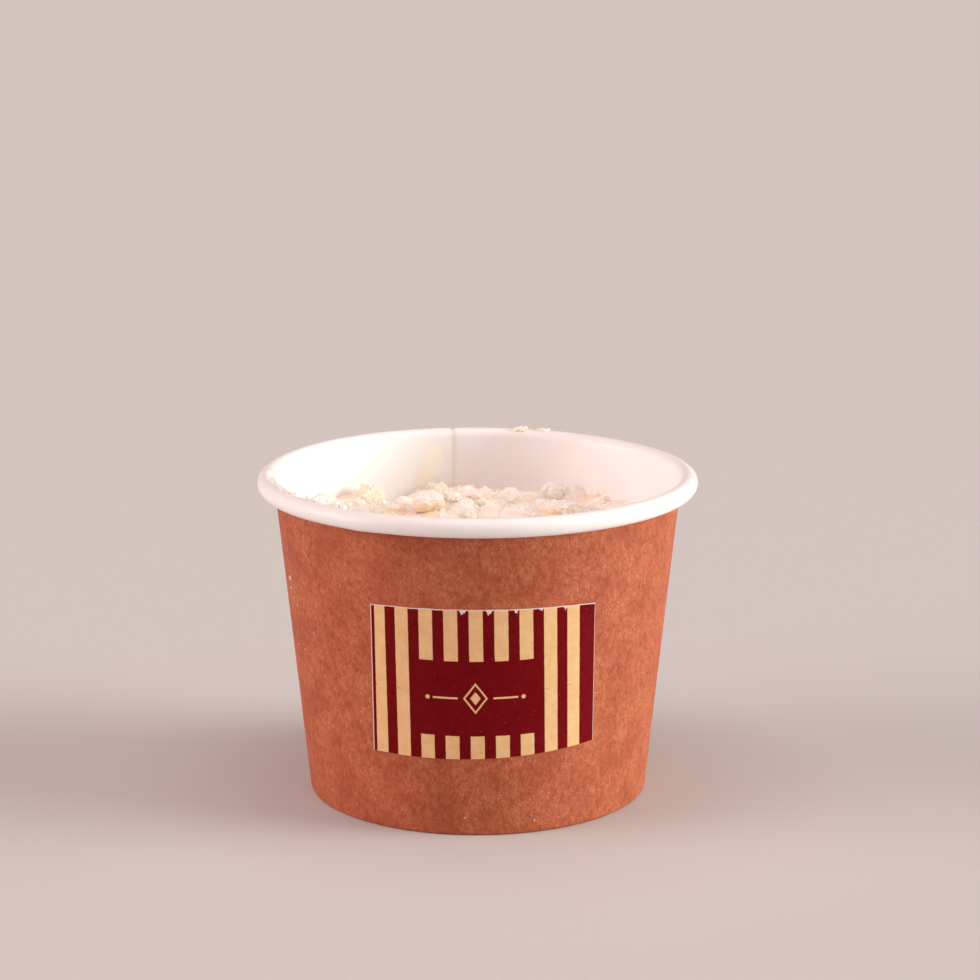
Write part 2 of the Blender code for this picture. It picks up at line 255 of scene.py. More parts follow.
class Recipe:
    """A Geometry Nodes tree with named inputs, which turns a host mesh into a plain new mesh."""

    def __init__(self, name: str, inputs: dict[str, str]) -> None:
        """Start the tree.

        Args:
            name: The tree's name.
            inputs: The socket type of each named input.
        """
        self.tree = bpy.data.node_groups.new(name, "GeometryNodeTree")
        interface = self.tree.interface
        interface.new_socket(name="Geometry", in_out="INPUT", socket_type="NodeSocketGeometry")
        self.identifiers = {}
        for label, kind in {**inputs, "Material": "NodeSocketMaterial"}.items():
            socket = interface.new_socket(name=label, in_out="INPUT", socket_type=kind)
            self.identifiers[label] = socket.identifier
        interface.new_socket(name="Geometry", in_out="OUTPUT", socket_type="NodeSocketGeometry")
        self.nodes = Nodes(self.tree)
        self.host = self.nodes.add("NodeGroupInput")

    def given(self, label: str) -> Value:
        """Return one of the tree's named inputs."""
        return self.host.other(label)

    def end(self, instances: Value, smooth_faces: Value | bool = True) -> None:
        """Close the tree: make the instances real, shade them and give them the material.

        Args:
            instances: The geometry that the tree has made so far.
            smooth_faces: Whether their faces are shaded smooth.
        """
        real = self.nodes.add("GeometryNodeRealizeInstances", None, {"Geometry": instances})
        shaded = self.nodes.add("GeometryNodeSetShadeSmooth", None, {
            "Geometry": real, "Shade Smooth": smooth_faces,
        })
        inputs = {"Geometry": shaded, "Material": self.given("Material")}
        dressed = self.nodes.add("GeometryNodeSetMaterial", None, inputs)
        self.nodes.add("NodeGroupOutput", None, {"Geometry": dressed})

    def made_on(self, host: bpy.types.Mesh, values: dict[str, Any]) -> bpy.types.Mesh:
        """Run the tree.

        Args:
            host: The mesh that the tree works on, which stays as it is.
            values: A value for each named input.

        Returns:
            The tree's result as a new mesh.
        """
        item = bpy.data.objects.new("host", host)
        bpy.context.scene.collection.objects.link(item)
        modifier = item.modifiers.new("recipe", "NODES")
        modifier.node_group = self.tree
        for label, value in values.items():
            modifier[self.identifiers[label]] = value
        mesh = evaluated_mesh(item)
        item.modifiers.clear()
        bpy.data.objects.remove(item)
        return mesh


# ---------------------------------------------------------------- mesh making


def evaluated_mesh(item: bpy.types.Object) -> bpy.types.Mesh:
    """Return a new plain mesh of the object with its modifiers applied."""
    graph = bpy.context.evaluated_depsgraph_get()
    return bpy.data.meshes.new_from_object(item.evaluated_get(graph))


def shown(name: str, mesh: bpy.types.Mesh) -> bpy.types.Object:
    """Return a new object in the scene that holds the mesh.

    Args:
        name: The name of both object and mesh.
        mesh: What the object holds.

    Returns:
        The object, at the origin.
    """
    mesh.name = name
    item = bpy.data.objects.new(name, mesh)
    bpy.context.scene.collection.objects.link(item)
    return item


def stored(shape: bmesh.types.BMesh) -> bpy.types.Mesh:
    """Return a bmesh as a new smooth mesh, and free it.

    Args:
        shape: The bmesh, which is used up.

    Returns:
        The mesh.
    """
    mesh = bpy.data.meshes.new("shape")
    shape.to_mesh(mesh)
    shape.free()
    mesh.shade_smooth()
    return mesh


def mesh_of(points: Sequence[Sequence[float]], faces: Sequence[Sequence[int]]) -> bpy.types.Mesh:
    """Return a new smooth mesh of the points and faces.

    Args:
        points: Each point's place.
        faces: The points of each face, anticlockwise from outside.

    Returns:
        The mesh.
    """
    mesh = bpy.data.meshes.new("shape")
    mesh.from_pydata(points, [], faces)
    mesh.shade_smooth()
    return mesh


def set_numbers(mesh: bpy.types.Mesh, name: str, numbers: Sequence[float]) -> None:
    """Store a number for each point of a mesh, under a name."""
    mesh.attributes.new(name, "FLOAT", "POINT").data.foreach_set("value", numbers)


def set_vectors(mesh: bpy.types.Mesh, name: str, vectors: Iterable[Sequence[float]]) -> None:
    """Store a vector for each point of a mesh, under a name."""
    flat = [part for vector in vectors for part in vector]
    mesh.attributes.new(name, "FLOAT_VECTOR", "POINT").data.foreach_set("vector", flat)


def thickened(mesh: bpy.types.Mesh, thickness: float, rim_material: int = 0) -> bpy.types.Mesh:
    """Turn an open sheet into a closed one.

    Args:
        mesh: The sheet's middle.
        thickness: What it gains, half on either side.
        rim_material: How many material slots further on the cut edges find theirs.

    Returns:
        The closed sheet, with its edges sharp.
    """
    item = shown("sheet", mesh)
    sheet = item.modifiers.new("thickness", "SOLIDIFY")
    sheet.thickness = thickness
    sheet.offset = 0.0
    sheet.material_offset_rim = rim_material
    closed = evaluated_mesh(item)
    bpy.data.objects.remove(item)
    closed.set_sharp_from_angle(angle=math.radians(50))
    return closed


def polar(radius: float, azimuth: float, height: float) -> Vector:
    """Return the point at a radius, an azimuth and a height."""
    return Vector((radius * math.cos(azimuth), radius * math.sin(azimuth), height))


def grid_faces(rows: int, columns: int) -> list[tuple[int, int, int, int]]:
    """Return the faces of a grid of points stored row by row."""
    corners = ((row * columns + column) for row in range(rows - 1) for column in range(columns - 1))
    return [(at, at + 1, at + columns + 1, at + columns) for at in corners]


@dataclass(frozen=True)
class LumpStyle:
    """How a lump's surface is worked."""

    detail: int                 # subdivisions of the ball that it starts from
    flatness: float             # its height, in its widths
    squareness: float = 2.0     # 2 is round, and more is blockier
    swell: float = 0.25         # how far the whole is out of round, in its sizes
    grain: float = 0.0          # height of the grains on it
    grain_spacing: float = 1.0 * MM
    lean: float = 0.5           # radians, at most


class LumpBatch:
    """Lumps gathered into one mesh, with `tint`, `powder`, `amber` and `catch` at each point."""

    SHIFT = 60.0                # how far apart two lumps may lie in the noise
    SWELLS = 1.3                # swells of the noise to a lump's radius
    BARE_BELOW = -0.45          # a face whose normal points lower than this catches no powder
    CAUGHT_OVER = 0.8           # how much higher it points where it catches most

    def __init__(self, draw: random.Random) -> None:
        """Start an empty batch that takes its chances from `draw`.

        Args:
            draw: Where every random number comes from.
        """
        self.draw = draw
        self.shape = bmesh.new()
        layers = self.shape.verts.layers.float
        self.tint, self.powder, self.amber, self.catch = (
            layers.new(name) for name in ("tint", "powder", "amber", "catch")
        )

    def add(
        self,
        style: LumpStyle,
        place: Vector,
        size: float,
        tint: float = 0.5,
        turn: float | None = None,
    ) -> None:
        """Add a lump.

        Args:
            style: How its surface is worked.
            place: Its middle.
            size: Its width.
            tint: How yellow a clot is, or how amber a torn piece is, from 0 to 1.
            turn: Its turn about Z, or None for any.
        """
        made = bmesh.ops.create_icosphere(self.shape, subdivisions=style.detail, radius=1.0)
        any_turn = self.draw.uniform(0.0, math.tau)
        lean = self.draw.uniform(-style.lean, style.lean)
        posed = Matrix.Rotation(any_turn if turn is None else turn, 3, "Z")
        posed = posed @ Matrix.Rotation(lean, 3, "X")
        shift = Vector([self.draw.uniform(0.0, self.SHIFT) for _ in range(3)])
        for point in made["verts"]:
            way = point.co.normalized()
            power = style.squareness
            reach = size / 2 * sum(abs(part) ** power for part in way) ** (-1.0 / power)
            reach *= 1.0 + style.swell * noise.noise(self.SWELLS * way + shift)
            reach += style.grain * (domes(way * reach / style.grain_spacing + shift) - 0.5)
            bare = way * reach
            bare.z *= style.flatness
            point.co = posed @ bare + place
            point[self.tint] = tint

    def finish(self, powder: Callable[[Vector, Vector], float] | None = None) -> bpy.types.Mesh:
        """Close the batch.

        Args:
            powder: From a point's place and normal, how much powder covers it.

        Returns:
            All the lumps as one mesh.
        """
        self.shape.normal_update()
        for point in self.shape.verts:
            share = 1.0 if powder is None else powder(point.co, point.normal)
            point[self.powder] = share
            point[self.amber] = point[self.tint] * (1.0 - share)
            point[self.catch] = smooth((point.normal.z - self.BARE_BELOW) / self.CAUGHT_OVER)
        return stored(self.shape)


def domes(place: Vector, foot: float = 0.75) -> float:
    """Return the height of rounded grains about 1 apart, from 0 between them to 1 on their tops."""
    return max(0.0, 1.0 - (noise.voronoi(place)[0][0] / foot) ** 2)


def mound(x: float, y: float, middle_x: float, middle_y: float, reach: float) -> float:
    """Return the height, at a place, of a soft round mound that is 1 high in its middle."""
    return math.exp(-((x - middle_x) ** 2 + (y - middle_y) ** 2) / reach**2)


# ---------------------------------------------------------------- the cup's form


@dataclass(frozen=True)
class CupForm:
    """The tapered cup's sizes, from which every sub-assembly works out its places."""

    rim_diameter: float
    height: float
    base_diameter: float = 58.2 * MM
    roll_diameter: float = 3.2 * MM
    board: float = 0.4 * MM
    gap: float = 0.3 * MM
    foot_height: float = 5.0 * MM
    fold_radius: float = 0.35 * MM
    roll_start: float = math.radians(180)
    roll_end: float = math.radians(-128)
    base_lift: float = 5.8 * MM
    shoulder_radius: float = 0.8 * MM

    @classmethod
    def of_frame(cls) -> "CupForm":
        """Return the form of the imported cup, whose rim and height are read from its box."""
        lowest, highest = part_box("cup_wall")
        return cls(rim_diameter=highest.x - lowest.x, height=highest.z)

    @property
    def roll_centre(self) -> Vector:
        """The middle of the rolled rim, as radius and height."""
        reach = self.roll_diameter / 2
        return Vector((self.rim_diameter / 2 - reach, self.height - reach))

    @property
    def roll_radius(self) -> float:
        """The radius of the sheet's middle in the roll."""
        return self.roll_diameter / 2 - self.board / 2

    @property
    def slant(self) -> float:
        """The wall's lean from upright, in radians."""
        rise = self.roll_centre - Vector((self.base_diameter / 2 - self.board / 2, 0.0))
        return math.atan2(rise.x, rise.y) - math.asin(self.roll_radius / rise.length)

    def sheet_radius(self, height: float, inward: float = 0.0) -> float:
        """Return the radius of the sheet's middle at a height, or of a cone inward of it."""
        return self.base_diameter / 2 - self.board / 2 + height * math.tan(self.slant) - inward

    def inner_radius(self, height: float) -> float:
        """Return the radius of the wall's inner face at a height."""
        return self.sheet_radius(height, self.board / 2 / math.cos(self.slant))

    def outer_radius(self, height: float) -> float:
        """Return the radius of the wall's outer face at a height."""
        return self.sheet_radius(height, -self.board / 2 / math.cos(self.slant))

    def on_roll(self, azimuth: float, turn: float, proud: float = 0.0) -> Vector:
        """Return a point of the roll's face.

        Args:
            azimuth: Where round the cup.
            turn: Where round the roll, from straight outward, up over its top.
            proud: How far off the face.

        Returns:
            The point.
        """
        reach = self.roll_diameter / 2 + proud
        centre = self.roll_centre
        return polar(centre.x + reach * math.cos(turn), azimuth, centre.y + reach * math.sin(turn))


def arc(centre: Vector, radius: float, start: float, end: float, steps: int) -> list[Vector]:
    """Return points along an arc in the (radius, height) plane, ends included."""
    turns = [start + (end - start) * step / steps for step in range(steps + 1)]
    return [centre + radius * Vector((math.cos(turn), math.sin(turn))) for turn in turns]


# ---------------------------------------------------------------- finishes


@dataclass(frozen=True)
class Finish:
    """What every finish shares: its name, and the material made from its shader."""

    name: str

    def shade(self, nodes: Nodes) -> Value:
        """Return the finish's shader, made in a material's tree."""
        raise NotImplementedError

    def material(self) -> bpy.types.Material:
        """Return the finish as a new material.

        Returns:
            The material, with its shader on its output.
        """
        material = bpy.data.materials.new(self.name)
        material.use_nodes = True
        nodes = Nodes(material.node_tree)
        nodes.add("ShaderNodeOutputMaterial", None, {"Surface": self.shade(nodes)})
        return material


@dataclass(frozen=True)
class KraftBoard(Finish):
    """Uncoated kraft board: soft clouds, a mottled grain, and short fibres that cross."""

    dark: Colour = rgb(0.350, 0.056, 0.0140)
    light: Colour = rgb(0.515, 0.114, 0.0360)
    fibre: Colour = rgb(0.74, 0.32, 0.185)
    pit: Colour = rgb(0.28, 0.031, 0.006)
    clouds: float = 150.0       # to the metre
    cloud_share: float = 0.80   # how strongly each part of the pattern shows
    grain_share: float = 1.35
    pit_share: float = 0.50
    fibre_share: float = 0.66
    fibre_turns: tuple[float, ...] = (0.10, 0.42, -0.36, 0.80, -0.70, 1.35)
    fibre_size: tuple[float, float, float] = (0.28 * MM, 1.70 * MM, 1.0)
    grain_turn: float = 0.35
    grain_size: tuple[float, float, float] = (1.15 * MM, 1.75 * MM, 1.0)
    pit_turn: float = -0.2
    pit_size: tuple[float, float, float] = (0.35 * MM, 0.7 * MM, 1.0)
    relief: float = 0.05 * MM

    def shade(self, nodes: Nodes) -> Value:
        """Return the board's shader, whose pattern follows the sheet.

        Args:
            nodes: The tree that the nodes are added to.

        Returns:
            The shader's output.
        """
        sheet = nodes.attribute("sheet")
        clouds = nodes.noise(sheet, self.clouds, 3.0, 0.55)
        grain = nodes.noise(nodes.mapped(sheet, self.grain_turn, self.grain_size), 1.0, 3.0, 0.65)
        fibres = None
        for turn in self.fibre_turns:
            laid = nodes.noise(nodes.mapped(sheet, turn, self.fibre_size), 1.0, 2.0, 0.6)
            shown_fibres = laid.rise(0.54, 0.80)
            fibres = shown_fibres if fibres is None else fibres.largest(shown_fibres)
        fibres *= 0.55 + 0.60 * nodes.noise(sheet, self.clouds, 1.0).rise(0.35, 0.65)
        pits = nodes.noise(nodes.mapped(sheet, self.pit_turn, self.pit_size), 1.0, 1.0)
        pits = pits.rise(0.57, 0.76)
        excess = (self.cloud_share + self.grain_share) / 2 - 0.5
        tone = clouds * self.cloud_share + grain * self.grain_share - excess
        colour = nodes.mix(tone.rise(0.18, 0.82), self.dark, self.light)
        colour = nodes.mix(pits * self.pit_share, colour, self.pit)
        colour = nodes.mix(fibres * self.fibre_share, colour, self.fibre)
        inputs = {
            "Base Color": colour,
            "Roughness": 0.66 - fibres * 0.12,
            "Specular IOR Level": 0.45,
            "Normal": nodes.bump(grain * 0.4 + fibres * 0.8 - pits * 0.5, self.relief, 0.8),
        }
        return nodes.add("ShaderNodeBsdfPrincipled", None, inputs)


@dataclass(frozen=True)
class WhiteBoard(Finish):
    """Coated white board: satin, almost even, with a faint waviness under the coat."""

    tone: Colour = rgb(0.95, 0.925, 0.925)
    shade_tone: Colour = rgb(0.94, 0.90, 0.895)
    wave_size: tuple[float, float, float] = (2.0 * MM, 8.0 * MM, 1.0)
    relief: float = 0.02 * MM

    def shade(self, nodes: Nodes) -> Value:
        """Return the board's shader, whose pattern follows the sheet.

        Args:
            nodes: The tree that the nodes are added to.

        Returns:
            The shader's output.
        """
        sheet = nodes.attribute("sheet")
        clouds = nodes.noise(sheet, 120.0, 3.0)
        waves = nodes.noise(nodes.mapped(sheet, 0.0, self.wave_size), 1.0, 2.0)
        fibres = nodes.noise(sheet, 2400.0, 2.0)
        inputs = {
            "Base Color": nodes.mix(clouds.rise(0.3, 0.7), self.shade_tone, self.tone),
            "Roughness": 0.36 + fibres * 0.12,
            "Coat Weight": 0.15,
            "Coat Roughness": 0.3,
            "Normal": nodes.bump(waves + fibres * 0.15, self.relief, 0.5),
        }
        return nodes.add("ShaderNodeBsdfPrincipled", None, inputs)


@dataclass(frozen=True)
class LabelPaper(Finish):
    """The label's bare paper, which shows at its cut edges."""

    tone: Colour = rgb(0.80, 0.66, 0.64)
    fibre: Colour = rgb(0.9, 0.8, 0.78)

    def shade(self, nodes: Nodes) -> Value:
        """Return the paper's shader.

        Args:
            nodes: The tree that the nodes are added to.

        Returns:
            The shader's output.
        """
        fibres = nodes.noise(nodes.object_place(), 3000.0, 2.0)
        colour = nodes.mix(fibres, self.tone, self.fibre)
        return nodes.add("ShaderNodeBsdfPrincipled", None, {"Base Color": colour, "Roughness": 0.8})


@dataclass(frozen=True)
class LabelPrint(Finish):
    """The label's print: cream stripes on burgundy round a plain panel with a small ornament.

    It reads the `print` attribute, in metres: across from the left edge, up from the bottom edge's
    middle, and the distance below the top edge. The sizes below are in millimetres.
    """

    burgundy: Colour = rgb(0.165, 0.0018, 0.0046)
    burgundy_worn: Colour = rgb(0.190, 0.0036, 0.0076)
    cream: Colour = rgb(0.84, 0.51, 0.25)
    cream_pale: Colour = rgb(0.91, 0.60, 0.31)
    paper: Colour = rgb(0.84, 0.72, 0.70)
    blot: Colour = rgb(0.55, 0.17, 0.13)
    width: float = 38.7
    stripe_start: float = 0.48
    stripe_pitch: float = 4.125
    stripe_width: float = 2.28
    stripe_lean: float = -0.0095
    lean_height: float = 13.0                       # where a leaning stripe is in its place
    stripes: tuple[float, float] = (0.74, 36.4)     # no stripe reaches past these
    panel: tuple[float, float, float, float] = (7.6, 28.2, 4.0, 17.15)  # left, right, bottom, top
    edge: float = 0.05                              # how soft a printed edge is
    wander: float = 0.10                            # how far a printed edge wanders
    margins: tuple[float, float, float] = (0.13, 0.06, 0.13)            # left, right, top
    chips: tuple[tuple[float, float, float], ...] = (           # across, half width and depth
        (15.9, 0.55, 0.62), (20.2, 0.55, 0.50), (24.6, 0.35, 0.42), (28.8, 0.40, 0.16),
        (33.0, 0.35, 0.38),
    )
    blot_height: float = 11.55
    ornament: tuple[float, float] = (17.9, 10.7)    # its middle
    lozenge: tuple[float, float] = (2.0, 2.7)       # half its width and height
    rules: tuple[float, float] = (2.9, 7.0)         # where a rule starts and ends, off the middle
    rule_edge: tuple[float, float] = (0.13, 0.20)   # where its ink thins and ends, off its axis
    dot: float = 7.9                                # how far off the middle a dot lies
    dot_edge: tuple[float, float] = (0.10, 0.16)    # the same for a dot, squared

    def shade(self, nodes: Nodes) -> Value:
        """Return the print's shader.

        Args:
            nodes: The tree that the nodes are added to.

        Returns:
            The shader's output.
        """
        across, up, below_top = (part / MM for part in nodes.split(nodes.attribute("print")))
        place = nodes.object_place()
        wander = (nodes.noise(place, 900.0, 2.0) - 0.5) * self.wander
        lines = self.striped(across + wander, up + wander)
        lines = lines.largest(self.motif(across + wander, up))
        blot = self.blots(across, up)
        wear = nodes.noise(place, 500.0, 4.0, 0.7)
        specks = nodes.noise(place, 3200.0, 1.0).rise(0.72, 0.80)
        ground = nodes.mix(wear.rise(0.35, 0.75), self.burgundy, self.burgundy_worn)
        ink = nodes.mix(wear.rise(0.3, 0.7), self.cream, self.cream_pale)
        colour = nodes.mix(lines, ground, ink)
        colour = nodes.mix(blot * lines * 0.5, colour, self.blot)
        colour = nodes.mix(specks * 0.12, colour, self.cream_pale)
        colour = nodes.mix(self.bare(nodes, across, below_top, place), colour, self.paper)
        inputs = {
            "Base Color": colour,
            "Roughness": 0.45 + wear * 0.15,
            "Specular IOR Level": 0.05,
            "Normal": nodes.bump(wear, 0.01 * MM, 0.4),
        }
        return nodes.add("ShaderNodeBsdfPrincipled", None, inputs)

    def striped(self, across: Value, up: Value) -> Value:
        """Return 1 on the cream stripes, short ones above and below the panel.

        Args:
            across: Millimetres from the left edge.
            up: Millimetres above the bottom edge.

        Returns:
            1 on a stripe and 0 off it, with soft edges.
        """
        leaned = across - self.stripe_lean * (up - self.lean_height)
        first_middle = self.stripe_start + self.stripe_width / 2
        count = (leaned - first_middle) / self.stripe_pitch
        off_middle = abs((count + 0.5).fraction() - 0.5) * self.stripe_pitch
        half = self.stripe_width / 2
        on_stripe = 1.0 - off_middle.rise(half - self.edge, half + self.edge)
        on_stripe *= self.between(across, *self.stripes)
        left, right, bottom, top = self.panel
        in_panel = self.between(across, left, right) * self.between(up, bottom, top)
        return on_stripe * (1.0 - in_panel)

    def between(self, value: Value, low: float, high: float) -> Value:
        """Return 1 between two values, with the print's soft edges."""
        above = value.rise(low - self.edge, low + self.edge)
        return above * (1.0 - value.rise(high - self.edge, high + self.edge))

    def motif(self, across: Value, up: Value) -> Value:
        """Return 1 on the panel's ornament: a lozenge in a lozenge frame between two fine rules.

        Args:
            across: Millimetres from the left edge.
            up: Millimetres above the bottom edge.

        Returns:
            1 on the ornament and 0 off it, with soft edges.
        """
        aside = abs(across - self.ornament[0])
        above = abs(up - self.ornament[1])
        lozenge = aside / self.lozenge[0] + above / self.lozenge[1]
        frame_line = lozenge.rise(0.80, 0.86) * (1.0 - lozenge.rise(0.98, 1.04))
        heart = 1.0 - lozenge.rise(0.40, 0.46)
        rules = self.between(aside, *self.rules) * (1.0 - above.rise(*self.rule_edge))
        off_dot = (aside - self.dot) ** 2.0 + above**2.0
        return frame_line.largest(heart).largest(rules).largest(1.0 - off_dot.rise(*self.dot_edge))

    def blots(self, across: Value, up: Value) -> Value:
        """Return 1 on the small pink flaws at mid height, one at each stripe's left edge.

        Args:
            across: Millimetres from the left edge.
            up: Millimetres above the bottom edge.

        Returns:
            1 on a flaw and 0 off it, with soft edges.
        """
        count = (across - self.stripe_start) / self.stripe_pitch
        along = count.fraction() * self.stripe_pitch
        line = 1.0 - abs(up - self.blot_height).rise(0.05, 0.16)
        return line * (1.0 - along.rise(0.5, 1.1))

    def bare(self, nodes: Nodes, across: Value, below_top: Value, place: Value) -> Value:
        """Return 1 where no ink reaches: a hairline at the edges, and chips along the top.

        Args:
            nodes: The tree that the nodes are added to.
            across: Millimetres from the left edge.
            below_top: Millimetres below the top edge.
            place: The place in the part's frame, for the ragged edge.

        Returns:
            1 on bare paper and 0 on ink, with soft edges.
        """
        left, right, top = self.margins
        ragged = (nodes.noise(place, 1500.0, 2.0) - 0.5) * 0.18
        torn = ragged * 3.0 + (nodes.noise(place, 3600.0, 2.0) - 0.5) * 1.3
        reach = ragged + top
        for middle, width, depth in self.chips:
            beside = (across - middle) / width
            reach = reach + (1.0 - abs(beside).rise(0.3, 1.2)) * (torn + depth)
        at_top = 1.0 - (below_top - reach).rise(-0.03, 0.05)
        at_left = 1.0 - across.rise(left - 0.03, left + 0.04)
        at_right = (across - self.width).rise(-right - 0.04, -right + 0.03)
        return at_top.largest(at_left).largest(at_right)


@dataclass(frozen=True)
class SweetCream(Finish):
    """Thick milk sweet, amber where it is torn, under powder where `powder` says so."""

    cream: Colour = rgb(0.95, 0.85, 0.73)
    cream_deep: Colour = rgb(0.95, 0.77, 0.59)
    amber: Colour = rgb(0.98, 0.76, 0.53)
    powder: Colour = rgb(0.985, 0.94, 0.895)
    powder_warm: Colour = rgb(0.985, 0.885, 0.79)

    def shade(self, nodes: Nodes) -> Value:
        """Return the sweet's shader.

        Args:
            nodes: The tree that the nodes are added to.

        Returns:
            The shader's output.
        """
        place = nodes.object_place()
        grains = nodes.noise(place, 2600.0, 2.0, 0.5)
        drift = nodes.noise(place, 320.0, 3.0)
        streaks = nodes.noise(nodes.mapped(place, 0.6, (3.0 * MM, 1.0 * MM, 1.3 * MM)), 1.0, 3.0)
        covered = (nodes.strength("powder") + (grains - 0.5) * 0.9).rise(0.42, 0.58)
        sweet = nodes.mix(streaks.rise(0.3, 0.7), self.cream_deep, self.cream)
        sweet = nodes.mix(nodes.strength("amber") * 0.9, sweet, self.amber)
        dust = nodes.mix(drift.rise(0.35, 0.68), self.powder, self.powder_warm)
        inputs = {
            "Base Color": nodes.mix(covered, sweet, dust),
            "Roughness": 0.50 + covered * 0.40,
            "Specular IOR Level": 0.3,
            "Normal": nodes.bump(grains * covered + streaks * 0.3, 0.10 * MM, 0.35),
        }
        return nodes.add("ShaderNodeBsdfPrincipled", None, inputs)


@dataclass(frozen=True)
class MilkPowder(Finish):
    """Matte milk powder, from white to a fat yellow by `tint`."""

    white: Colour = rgb(0.985, 0.95, 0.90)
    warm: Colour = rgb(0.985, 0.91, 0.835)
    yellow: Colour = rgb(0.985, 0.95, 0.74)

    def shade(self, nodes: Nodes) -> Value:
        """Return the powder's shader.

        Args:
            nodes: The tree that the nodes are added to.

        Returns:
            The shader's output.
        """
        place = nodes.object_place()
        grains = nodes.noise(place, 2800.0, 3.0, 0.5)
        drift = nodes.noise(place, 420.0, 2.0)
        share = (nodes.strength("tint") * 1.1 + (drift - 0.5) * 0.5).rise(0.25, 1.05)
        plain = nodes.mix(nodes.noise(place, 300.0, 2.0).rise(0.40, 0.66), self.white, self.warm)
        inputs = {
            "Base Color": nodes.mix(share, plain, self.yellow),
            "Roughness": 0.9,
            "Specular IOR Level": 0.2,
            "Normal": nodes.bump(grains, 0.10 * MM, 0.3),
        }
        return nodes.add("ShaderNodeBsdfPrincipled", None, inputs)


@dataclass(frozen=True)
class StudioFloor(Finish):
    """A plain pale floor."""

    tone: Colour = rgb(0.62, 0.61, 0.60)

    def shade(self, nodes: Nodes) -> Value:
        """Return the floor's shader."""
        inputs = {"Base Color": self.tone, "Roughness": 0.7}
        return nodes.add("ShaderNodeBsdfPrincipled", None, inputs)


# ---------------------------------------------------------------- sub-assemblies


@dataclass
class SubAssembly:
    """What the sub-assemblies share: the cup's form, and their pieces."""

    form: CupForm
    made: list[str] = field(default_factory=list, init=False)

    def hand_over(self, item: bpy.types.Object, slot: Slot, *replaced: str) -> None:
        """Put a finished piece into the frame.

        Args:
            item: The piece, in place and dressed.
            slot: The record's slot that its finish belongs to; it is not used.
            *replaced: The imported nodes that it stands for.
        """
        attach(item, BODY)
        if replaced:
            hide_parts(*replaced)
        self.made.append(f"{item.name} ({len(item.data.polygons)} faces)")


